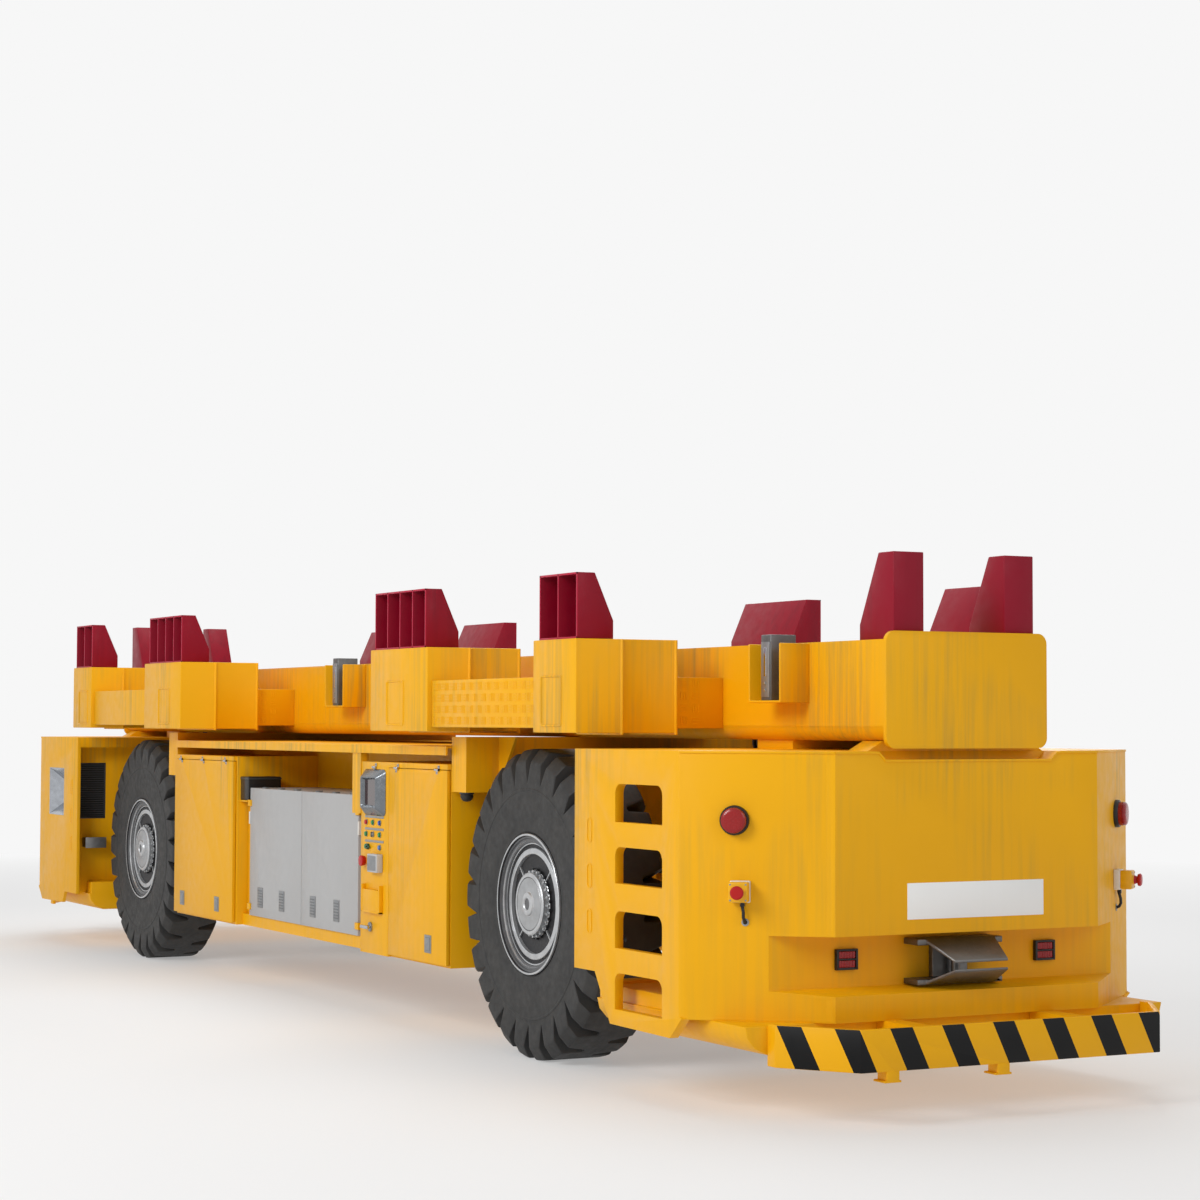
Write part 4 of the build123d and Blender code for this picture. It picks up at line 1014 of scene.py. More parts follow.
@dataclass
class Hinges:
    """The lift-off hinges and latches of the cabinet doors.

    Attributes:
        pin: Distance out and height of the hinge line.
        face_y: Distance of the doors' faces from the vehicle's middle.
        length: Length of one knuckle.
        gap: Half the gap between the two knuckles of a hinge.
        knuckle: Radius of a knuckle.
        leaf: Height of one leaf.
        thickness: Thickness of a leaf.
        screw: Radius and top of a leaf's screws.
        low_x: Where a door starts, beside a control panel and elsewhere.
        high_x: Where a door ends.
        panel_x: Where the control panel's own hinge is.
        latch_z: Height of the latches.
    """

    pin: Pair = (1.364, 1.8145)
    face_y: float = 1.355
    length: float = 0.030
    gap: float = 0.0006
    knuckle: float = 0.0096
    leaf: float = 0.030
    thickness: float = 0.0046
    screw: Pair = (0.0042, 0.0066)
    low_x: Pair = (1.859, 1.379)
    high_x: float = 2.850
    panel_x: float = 1.610
    latch_z: float = 0.626

    def spots(self, has_panel: bool) -> list[float]:
        """Gives the distances of a door's hinges from the vehicle's middle.

        Args:
            has_panel: Whether the door stands beside a control panel.

        Returns:
            The distances.
        """
        low = self.low_x[0] if has_panel else self.low_x[1]
        shares = (0.15, 0.85) if has_panel else (0.12, 0.5, 0.88)
        return [low + share * (self.high_x - low) for share in shares]

    def half(self, shape: Shape, spot: float, up: int, end: int, side: int) -> None:
        """Adds one half of a hinge.

        Args:
            shape: The mesh that takes it.
            spot: The hinge's distance from the vehicle's middle.
            up: 1 for the cabinet's half and -1 for the door's.
            end: 1 at the front and -1 at the rear.
            side: 1 on the left and -1 on the right.
        """
        steel = Finishes.bright
        low, high = turned_span(up, self.gap, self.length)
        low_x, high_x = turned_span(end, spot + low, spot + high)
        low_u, high_u = turned_span(-side, low_x, high_x)
        low_v, high_v = turned_span(up, 0.0, self.leaf)
        place = face_frame((0, side * self.face_y, self.pin[1]), (0, side, 0))
        shape.box((low_u, low_v, 0.0), (high_u, high_v, self.thickness), steel, place,
                  rounding=0.001)
        axis = face_frame(((low_x + high_x) / 2, side * self.pin[0], self.pin[1]), (1, 0, 0))
        reach = (high_x - low_x) / 2
        shape.drum((0, 0), -reach, reach, self.knuckle, steel, axis, sides=20, rounding=0.0015)
        for across in (-0.25, 0.25):
            middle = ((low_u + high_u) / 2 + across * (high_u - low_u), up * 0.7 * self.leaf)
            shape.drum(middle, self.thickness, self.screw[1], self.screw[0], Finishes.zinc, place,
                       sides=6)

    def latch(self, shape: Shape, place: Matrix, spot: float) -> None:
        """Adds a paddle latch.

        Args:
            shape: The mesh that takes it.
            place: The door's frame at the latch's height.
            spot: The latch's place along the door.
        """
        steps = ((0.055, 0.061, -0.001, 0.004, Finishes.zinc, 0.002),
                 (0.040, 0.046, 0.001, 0.0055, Finishes.steel_grey, 0.001),
                 (0.037, 0.043, 0.002, 0.0080, Finishes.zinc, 0.003))
        for half_u, half_v, low, high, finish, rounding in steps:
            shape.box((spot - half_u, -half_v, low), (spot + half_u, half_v, high), finish, place,
                      rounding=rounding)

    def build(self) -> None:
        """Builds the hinges and latches of every door."""
        for side, hand in SIDES:
            for end, along in ENDS:
                has_panel = (hand < 0) == (along > 0)
                fixed, moving = Shape(), Shape()
                if has_panel:
                    for up in (-1, 1):
                        self.half(fixed, self.panel_x, up, along, hand)
                for spot in self.spots(has_panel):
                    self.half(fixed, spot, 1, along, hand)
                    self.half(moving, spot, -1, along, hand)
                place = face_frame((0, hand * self.face_y, self.latch_z), (0, hand, 0))
                for spot in (2.55,) if has_panel else (1.75, 2.63):
                    self.latch(moving, place, -along * hand * spot)
                fixed.done(f"hinge_leaves_{side}_{end}", CHASSIS, "bare_steel")
                moving.done(f"door_fittings_{side}_{end}", f"door_{side}_{end}", "bare_steel")


@dataclass
class ControlPanels:
    """The screens, buttons and switches on two of the cabinets.

    Attributes:
        face_y: Distance of the panel's face from the vehicle's middle.
        screen: Middle of the screen.
        half: Half size of the screen's frame.
        levels: Depth, inset and corner radius of each outline of the screen's frame.
        glass: Height of the screen's glass over the panel.
        strips: Heights of the strips over the rows of buttons.
        columns: Places of the buttons along the panel.
        key: Middle of the key switch.
        knob: Middle of the rotary knob.
        stop: Middle of the stop button.
        handle: Middle of the T handle.
    """

    face_y: float = 1.355
    screen: Pair = (1.610, 1.635)
    half: Pair = (0.1925, 0.165)
    levels: tuple[Triple, ...] = (
        (0.0, 0.0, 0.030), (0.004, 0.0, 0.030), (0.052, 0.046, 0.016), (0.059, 0.052, 0.014),
        (0.0595, 0.060, 0.012), (0.054, 0.066, 0.010), (0.0310, 0.074, 0.008),
    )
    glass: float = 0.0312
    strips: Triple = (1.459, 1.372, 1.285)
    columns: Triple = (1.455, 1.577, 1.703)
    key: Pair = (1.577, 1.334)
    knob: Pair = (1.495, 1.244)
    stop: Pair = (1.455, 1.141)
    handle: Pair = (1.540, 0.672)

    def frame_ring(self, shape: Shape, place: Matrix) -> None:
        """Adds the screen's sloping frame and its glass.

        Args:
            shape: The mesh that takes them.
            place: The panel's frame.
        """
        across, up = self.screen
        part = bmesh.new()
        rings = []
        for depth, inset, corner in self.levels:
            ring = rounded_outline(across, up, self.half[0] - inset, self.half[1] - inset, corner,
                                   5)
            rings.append([part.verts.new((u, v, depth)) for u, v in ring])
        skin(part, rings)
        shape.join(part, place, Finishes.screen_frame)
        inner = bmesh.new()
        half_u, half_v = (half - self.levels[-1][1] for half in self.half)
        inner.faces.new([inner.verts.new((across + u * half_u, up + v * half_v, self.glass))
                         for u, v in ((-1, -1), (1, -1), (1, 1), (-1, 1))])
        shape.join(inner, place, Finishes.screen)

    def switches(self, shape: Shape, place: Matrix) -> None:
        """Adds the buttons with their strips, the key switch and the rotary knob.

        Args:
            shape: The mesh that takes them.
            place: The panel's frame.
        """
        rows = (
            (1.419, (Finishes.stop_red, Finishes.green, Finishes.blue)),
            (1.334, (Finishes.green, Finishes.zinc, Finishes.green)),
            (1.244, (Finishes.green, None, Finishes.pale_blue)),
        )
        for height in self.strips:
            shape.box((1.430, height - 0.008, 0.0), (1.770, height + 0.008, 0.004), Finishes.label,
                      place, rounding=0.001)
        for height, finishes in rows:
            for across, finish in zip(self.columns, finishes):
                if finish is not None:
                    spot = (across, height)
                    shape.drum(spot, 0.0, 0.005, 0.021, Finishes.zinc, place, sides=28,
                               rounding=0.001)
                    shape.drum(spot, 0.004, 0.015, 0.0165, finish, place, sides=28, rounding=0.003)
        shape.box((1.573, 1.316, 0.012), (1.581, 1.352, 0.020), Finishes.black, place,
                  rounding=0.002)
        shape.drum(self.key, 0.004, 0.017, 0.011, Finishes.bright, place, sides=20)
        shape.drum(self.knob, 0.0, 0.018, 0.020, Finishes.green_dark, place, sides=24,
                   rounding=0.003)
        shape.box((1.462, 1.237, 0.010), (1.540, 1.251, 0.018), Finishes.green_dark, place,
                  rounding=0.003)

    def build(self) -> None:
        """Builds both panels."""
        shape = Shape()
        for turn in END_TURNS:
            place = turn @ face_frame((0, -self.face_y, 0), (0, -1, 0))
            self.frame_ring(shape, place)
            self.switches(shape, place)
            shape.drum(self.stop, 0.0, 0.018, 0.024, Finishes.stop_yellow, place, sides=28)
            shape.drum(self.stop, 0.016, 0.050, 0.034, Finishes.stop_red, place, sides=40,
                       top=0.040, rounding=0.008)
            # Grey box with a metal lid
            shape.box((1.585, 1.068, 0.0), (1.760, 1.198, 0.052), Finishes.pale_grey, place,
                      rounding=0.008, segments=3)
            shape.box((1.600, 1.080, 0.050), (1.745, 1.186, 0.055), Finishes.zinc, place,
                      rounding=0.003)
            shape.box((1.6, 1.074, 0.046), (1.612, 1.078, 0.0545), Finishes.bright, place)
            # Pocket with a slot, and the T handle
            for low, high in (((1.430, 0.775), (1.442, 0.976)), ((1.748, 0.775), (1.760, 0.976)),
                              ((1.430, 0.775), (1.760, 0.788))):
                shape.box((*low, 0.0), (*high, 0.030), Finishes.yellow, place, rounding=0.002)
            shape.box((1.438, 0.785, 0.0), (1.752, 0.940, 0.028), Finishes.yellow, place,
                      rounding=0.002)
            shape.drum(self.handle, 0.0, 0.010, 0.034, Finishes.zinc, place, sides=28,
                       rounding=0.002)
            shape.drum(self.handle, 0.008, 0.048, 0.013, Finishes.bright, place, sides=20)
            shape.box((1.475, 0.660, 0.036), (1.605, 0.684, 0.058), Finishes.bright, place,
                      rounding=0.006, segments=3)
        shape.done("control_panel_fittings", CHASSIS, "panel_grey", ["control_panels"])


@dataclass
class CornerFittings:
    """The lamps, stop buttons, name plates, lips and pressed slots of the end bodies.

    Attributes:
        corner: Along and across place of the corner panel's outer edge.
        front: Along and across place of its inner edge.
        lamp: Share of the way over the panel, and height, of the round lamp.
        button: Share of the way over the panel, and height, of the stop button.
        recess_lamp: Place of the recess lamp of the left side.
        ribs: Number of ribs round the lamp's lens.
        feet: Places of the bumper's feet posts across.
        gaps: Spans of height of the corner panel's strips.
        slot_x: Distance of the pressed slots from the vehicle's middle.
        slot_spans: Spans of height of the pressed slots.
    """

    corner: Pair = (6.370, 1.556)
    front: Pair = (6.925, 0.895)
    lamp: Pair = (0.36, 1.607)
    button: Pair = (0.40, 1.220)
    recess_lamp: Triple = (6.690, 0.680, 0.835)
    ribs: int = 24
    feet: Pair = (-0.800, -0.080)
    gaps: tuple[Pair, ...] = ((0.531, 0.639), (0.996, 1.924))
    slot_x: float = 5.310
    slot_spans: tuple[Pair, ...] = ((1.437, 1.584), (1.170, 1.317), (0.908, 1.052))

    def panel(self, share: float, side: int, height: float) -> Matrix:
        """Makes a frame on a corner panel.

        Args:
            share: Share of the way from the panel's outer edge to its inner one.
            side: 1 on the left and -1 on the right.
            height: Height of the frame.

        Returns:
            The frame.
        """
        along = self.corner[0] + share * (self.front[0] - self.corner[0])
        across = self.corner[1] + share * (self.front[1] - self.corner[1])
        out = (self.corner[1] - self.front[1], side * (self.front[0] - self.corner[0]), 0)
        return face_frame((along, side * across, height), out)

    def round_lamp(self, bases: Shape, lenses: Shape, place: Matrix) -> None:
        """Adds a round red lamp with a ribbed lens.

        Args:
            bases: The mesh that takes its base.
            lenses: The mesh that takes its lens.
            place: The panel's frame.
        """
        base, lens = Finishes.black, Finishes.lens
        bases.lathe([(0.0, 0.082, base), (0.018, 0.082, base), (0.025, 0.078, base),
                     (0.026, 0.0, base)], place, steps=64)
        lenses.lathe([(0.025, 0.0, lens), (0.025, 0.070, lens), (0.048, 0.0695, lens),
                      (0.050, 0.067, lens), (0.052, 0.0695, lens), (0.060, 0.068, lens),
                      (0.067, 0.060, lens), (0.0695, 0.045, lens), (0.070, 0.0, lens)], place,
                      steps=64)
        for number in range(self.ribs):
            turn = place @ Matrix.Rotation(2 * pi * number / self.ribs, 4, "Z")
            lenses.box((0.064, -0.0018, 0.027), (0.0702, 0.0018, 0.047), lens, turn)

    def stop_button(self, shape: Shape, place: Matrix, hand: int) -> None:
        """Adds a stop button on its two boxes, and its cable.

        Args:
            shape: The mesh that takes it.
            place: The panel's frame.
            hand: The way that the cable leans.
        """
        white, yellow, red = Finishes.stop_white, Finishes.stop_yellow, Finishes.stop_red
        zinc, black = Finishes.zinc, Finishes.black
        shape.box((-0.055, -0.060, 0.0), (0.055, 0.060, 0.040), white, place, rounding=0.006,
                  segments=3)
        shape.box((-0.054, -0.055, 0.039), (0.054, 0.055, 0.108), yellow, place, rounding=0.008,
                  segments=3)
        for u in (-0.043, 0.043):
            for v in (-0.043, 0.043):
                shape.drum((u, v), 0.106, 0.1095, 0.005, zinc, place, sides=12)
        shape.lathe([(0.106, 0.030, yellow), (0.114, 0.027, red), (0.132, 0.020, red),
                     (0.136, 0.034, red), (0.142, 0.0375, red), (0.150, 0.0375, red),
                     (0.157, 0.030, red), (0.159, 0.0, red)], place, steps=48)
        # The cable's gland, the cable, and the hole that it goes into
        shape.drum((0.012, -0.072), 0.012, 0.034, 0.013, black, place, sides=16)
        shape.tube([(0.012, -0.058, 0.022), (0.012, -0.085, 0.022),
                    (0.014 - 0.004 * hand, -0.112, 0.030), (0.018, -0.140, 0.030),
                    (0.022, -0.160, 0.020), (0.024, -0.168, 0.002)], 0.009, black, place)
        shape.lathe([(0.0, 0.021, zinc), (0.004, 0.021, zinc), (0.005, 0.012, black),
                     (0.002, 0.0, black)], place @ Matrix.Translation((0.024, -0.168, 0.0)),
                     steps=24)

    def square_lamp(self, bases: Shape, lenses: Shape, place: Matrix) -> None:
        """Adds a recess lamp with two stacked lenses.

        Args:
            bases: The mesh that takes its frame.
            lenses: The mesh that takes its lenses.
            place: The frame at its middle on the recess's back.
        """
        for low, high in (((-0.070, -0.0575), (-0.056, 0.0575)),
                          ((0.056, -0.0575), (0.070, 0.0575)),
                          ((-0.060, -0.0575), (0.060, -0.046)), ((-0.060, 0.046), (0.060, 0.0575)),
                          ((-0.060, -0.004), (0.060, 0.004))):
            bases.box((*low, 0.0), (*high, 0.027), Finishes.black, place, rounding=0.002)
        bases.box((-0.060, -0.050, 0.0), (0.060, 0.050, 0.012), Finishes.chrome, place)
        for middle in (-0.025, 0.025):
            lenses.box((-0.054, middle - 0.020, 0.010), (0.054, middle + 0.020, 0.023),
                       Finishes.lens, place, rounding=0.004, segments=3)
            for line in range(5):
                across = -0.036 + 0.018 * line
                lenses.box((across - 0.002, middle - 0.017, 0.020),
                           (across + 0.002, middle + 0.017, 0.0245), Finishes.lens, place)

    def build(self) -> None:
        """Builds the fittings of both ends."""
        bases, lenses, buttons, plates = Shape(), Shape(), Shape(), Shape()
        yellow, white = Finishes.yellow, Finishes.plate_white
        for turn in END_TURNS:
            for _, hand in SIDES:
                lamp = turn @ self.panel(self.lamp[0], hand, self.lamp[1])
                self.round_lamp(bases, lenses, lamp)
                button = turn @ self.panel(self.button[0], hand, self.button[1])
                self.stop_button(buttons, button, hand)
                along, across, height = self.recess_lamp
                back = turn @ face_frame((along, hand * across, height), (1, 0, 0))
                self.square_lamp(bases, lenses, back)
            front = turn @ face_frame((self.front[0], 0.0, 0.0), (1, 0, 0))
            plates.box((-0.425, 1.060, 0.0), (0.505, 1.260, 0.003), white, front, rounding=0.001)
            self.lip(plates, turn)
            for across in self.feet:
                plates.box((7.245, across - 0.040, 0.250), (7.3355, across + 0.040, 0.304), yellow,
                           turn, rounding=0.002)
            for low, high in self.gaps:
                strip = [(6.9246, -0.8950), (6.8800, -0.9481), (6.8740, -0.9330), (6.9080, -0.8800)]
                plates.prism(strip, low - 0.004, high + 0.004, yellow, turn)
            for _, hand in SIDES:
                plate = turn @ face_frame((0, hand * self.corner[1], 0), (0, hand, 0))
                self.slots(plates, plate, -hand)
        bases.done("lamp_frames", CHASSIS, "black_plastic", ["lamp_bases"])
        lenses.done("lamp_glasses", CHASSIS, "red_lens", ["lamp_lenses"])
        buttons.done("stop_buttons", CHASSIS, "stop_yellow", ["stop_boxes"])
        plates.done("body_plates", CHASSIS, "yellow_paint")

    def lip(self, shape: Shape, turn: Matrix) -> None:
        """Adds the thin lip along an end body's top edge.

        Args:
            shape: The mesh that takes it.
            turn: The end's turn about the vehicle's upright axis.
        """
        top, notch, depth, reach = 1.985, 0.610, 0.045, 0.005
        line = [(-self.front[1], top), (-notch, top), (-notch + depth, top - depth),
                (notch - depth, top - depth), (notch, top), (self.front[1], top)]
        band = line + [(across, height - 2.5 * reach) for across, height in reversed(line)]
        front = turn @ face_frame((self.front[0], 0, 0), (1, 0, 0))
        shape.prism(band, -reach, reach, Finishes.yellow, front, rounding=0.001)
        half = hypot(self.front[0] - self.corner[0], self.corner[1] - self.front[1]) / 2
        for _, hand in SIDES:
            place = turn @ self.panel(0.5, hand, top)
            shape.box((-half, -2.5 * reach, -reach), (half, 0.0, reach), Finishes.yellow, place,
                      rounding=0.001)

    def slots(self, shape: Shape, place: Matrix, flip: int) -> None:
        """Adds the three pressed slots beside the steps or the window.

        Args:
            shape: The mesh that takes them.
            place: The side plate's frame.
            flip: 1 where the frame's first axis runs forward and -1 where it runs back.
        """
        for low, high in self.slot_spans:
            middle = (flip * self.slot_x, (low + high) / 2)
            outer = rounded_outline(*middle, 0.030, (high - low) / 2, 0.028, 6)
            inner = rounded_outline(*middle, 0.022, (high - low) / 2 - 0.008, 0.020, 6)
            part = bmesh.new()
            rings = [[part.verts.new((u, v, depth)) for u, v in ring]
                     for ring, depth in ((outer, 0.0), (outer, 0.003), (inner, 0.003),
                                         (inner, 0.0))]
            skin(part, rings)
            shape.join(part, place, Finishes.yellow)


def rounded_outline(across: float, up: float, half_u: float, half_v: float, corner: float,
                    steps: int) -> list[Pair]:
    """Gives the points of a rectangle with rounded corners.

    Args:
        across: Its middle along the first axis.
        up: Its middle along the second axis.
        half_u: Half its width.
        half_v: Half its height.
        corner: Radius of its corners.
        steps: Segments of each corner.

    Returns:
        The points in order.
    """
    points = []
    for quarter, (sign_u, sign_v) in enumerate(((1, 1), (-1, 1), (-1, -1), (1, -1))):
        for step in range(steps + 1):
            angle = pi / 2 * (quarter + step / steps)
            points.append((across + sign_u * (half_u - corner) + corner * cos(angle),
                           up + sign_v * (half_v - corner) + corner * sin(angle)))
    return points


@dataclass
class LoadFrameFittings:
    """The pressed panels, tread plates and lock fittings of the load frame.

    Attributes:
        cell: Side of one square of the tread pattern.
        proud: Height of the tread pattern.
        pod_y: Distance of the pods' faces from the vehicle's middle.
        walk_y: Distance of the walkways' faces from it.
        pad_y: Distance of the pods' end faces from it.
        post_y: Distance of the lock posts' faces from it.
        pods: Spans of the pressed panels along the vehicle.
        pod_z: Span of height of the pressed panels.
        walk: Span of a walkway along the vehicle.
        walk_z: Span of height of its tread plate.
        pads: Place along the vehicle, and the way out, of the pods' end faces.
        guides: Where each side guide starts and ends, and its number of ribs.
        posts: Spans of the lock posts along the vehicle.
    """

    cell: float = 0.062
    proud: float = 0.0025
    pod_y: float = 1.585
    walk_y: float = 1.556
    pad_y: float = 0.785
    post_y: float = 0.736
    pods: tuple[Pair, ...] = ((4.717, 5.002), (2.337, 2.638))
    pod_z: Pair = (2.111, 2.425)
    walk: Pair = (3.055, 4.590)
    walk_z: Pair = (2.112, 2.408)
    pads: tuple[tuple[float, int], ...] = ((5.144, 1), (2.095, -1), (2.987, 1), (4.655, -1))
    guides: tuple[tuple[float, float, int], ...] = ((4.660, 5.160, 3), (2.090, 2.950, 5))
    posts: tuple[Pair, ...] = ((5.769, 6.124), (0.505, 0.900))

    def tread(self, shape: Shape, place: Matrix, low: Pair, high: Pair) -> None:
        """Covers a rectangle with squares of short bars that turn from square to square.

        Args:
            shape: The mesh that takes the bars.
            place: The face's frame.
            low: Low corner of the rectangle.
            high: High corner of the rectangle.
        """
        bars = bmesh.new()
        columns = int((high[0] - low[0]) / self.cell)
        rows = int((high[1] - low[1]) / self.cell)
        step_u = (high[0] - low[0]) / columns
        step_v = (high[1] - low[1]) / rows
        reach, thin, depth = 0.40 * self.cell, 0.055 * self.cell, self.proud / 2 - 0.0005
        for column in range(columns):
            for row in range(rows):
                middle_u = low[0] + (column + 0.5) * step_u
                middle_v = low[1] + (row + 0.5) * step_v
                for bar in (-1, 0, 1):
                    offset = bar * 0.30 * self.cell
                    middle = Vector((middle_u, middle_v + offset, depth))
                    size = Vector((2 * reach, 2 * thin, self.proud + 0.001))
                    if (column + row) % 2 == 0:
                        middle = Vector((middle_u + offset, middle_v, depth))
                        size = Vector((2 * thin, 2 * reach, self.proud + 0.001))
                    bmesh.ops.create_cube(bars, size=1.0,
                                          matrix=Matrix.LocRotScale(middle, None, size))
        shape.join(bars, place, Finishes.yellow)

    def pressed_panel(self, shape: Shape, place: Matrix, low: Pair, high: Pair) -> None:
        """Adds a raised frame round a rectangle.

        Args:
            shape: The mesh that takes it.
            place: The face's frame.
            low: Low corner of the rectangle.
            high: High corner of the rectangle.
        """
        middle = ((low[0] + high[0]) / 2, (low[1] + high[1]) / 2)
        half = ((high[0] - low[0]) / 2, (high[1] - low[1]) / 2)
        part = bmesh.new()
        rings = []
        for inset, depth in ((0.0, 0.0), (0.004, 0.007), (0.011, 0.007), (0.016, 0.0008)):
            corner = 0.020 - inset / 2
            ring = rounded_outline(*middle, half[0] - inset, half[1] - inset, corner, 4)
            rings.append([part.verts.new((u, v, depth)) for u, v in ring])
        skin(part, rings)
        shape.join(part, place, Finishes.yellow)

    def build(self) -> None:
        """Builds the fittings on both sides."""
        panels, treads, locks, edges = Shape(), Shape(), Shape(), Shape()
        for _, hand in SIDES:
            side = face_frame((0, hand * self.pod_y, 0), (0, hand, 0))
            walk = face_frame((0, hand * self.walk_y, 0), (0, hand, 0))
            for _, along in ENDS:
                for span in self.pods:
                    low, high = turned_span(-hand * along, *span)
                    self.pressed_panel(panels, side, (low, self.pod_z[0]), (high, self.pod_z[1]))
                if (hand < 0) == (along > 0):
                    low, high = turned_span(-hand * along, *self.walk)
                    self.tread(treads, walk, (low, self.walk_z[0]), (high, self.walk_z[1]))
                for edge, out in self.pads:
                    pad = face_frame((along * edge, hand * self.pad_y, 2.265), (along * out, 0, 0))
                    self.tread(treads, pad, (-0.085, -0.150), (0.085, 0.150))
                # Lighter crimson strips on the guides' rib edges are painted highlights
                for start, end, ribs in self.guides:
                    self.guide_edge_highlights(edges, along, hand, start, end, ribs)
                for start, end in self.posts:
                    self.lock(locks, along * (start + end) / 2, hand)
        panels.done("pod_panels", CHASSIS, "yellow_paint")
        edges.done("guide_edge_highlights", CHASSIS, "red_paint")
        treads.done("tread_plates", CHASSIS, "yellow_paint")
        locks.done("lock_fittings", CHASSIS, "bare_steel")

    def guide_edge_highlights(self, shape: Shape, along: int, hand: int, low_x: float, high_x: float,
                    ribs: int) -> None:
        """Adds painted highlights: lighter crimson strips on a side guide's ribs, top and foot.

        Args:
            shape: The mesh that takes them.
            along: 1 at the front and -1 at the rear.
            hand: 1 on the left and -1 on the right.
            low_x: Where the guide starts.
            high_x: Where it ends.
            ribs: Its number of ribs.
        """
        foot, top, plate = 2.638, 3.033, 0.012
        near, far = turned_span(hand, 1.560, 1.5665)
        step = high_x - low_x - plate
        for number in range(ribs):
            start = low_x + number * step / (ribs - 1)
            first, last = turned_span(along, start, start + plate)
            shape.box((first, near, foot), (last, far, top), Finishes.crimson_highlight, rounding=0.001)
        first, last = turned_span(along, low_x, high_x)
        for height in (foot, top - plate):
            shape.box((first, near, height), (last, far, height + plate), Finishes.crimson_highlight,
                      rounding=0.001)

    def lock(self, shape: Shape, along: float, hand: int) -> None:
        """Adds a lock's guide plate, slot and bolts on its post.

        Args:
            shape: The mesh that takes them.
            along: The post's middle.
            hand: 1 on the left and -1 on the right.
        """
        place = face_frame((along, hand * self.post_y, 2.45), (0, hand, 0))
        shape.box((-0.045, -0.160, 0.0), (0.045, 0.160, 0.006), Finishes.zinc, place,
                  rounding=0.002)
        shape.box((-0.014, -0.040, 0.002), (0.014, 0.130, 0.0085), Finishes.chrome, place,
                  rounding=0.003)
        for height in (-0.120, -0.080):
            shape.drum((0.0, height), 0.004, 0.012, 0.010, Finishes.bright, place, sides=6,
                       rounding=0.001)


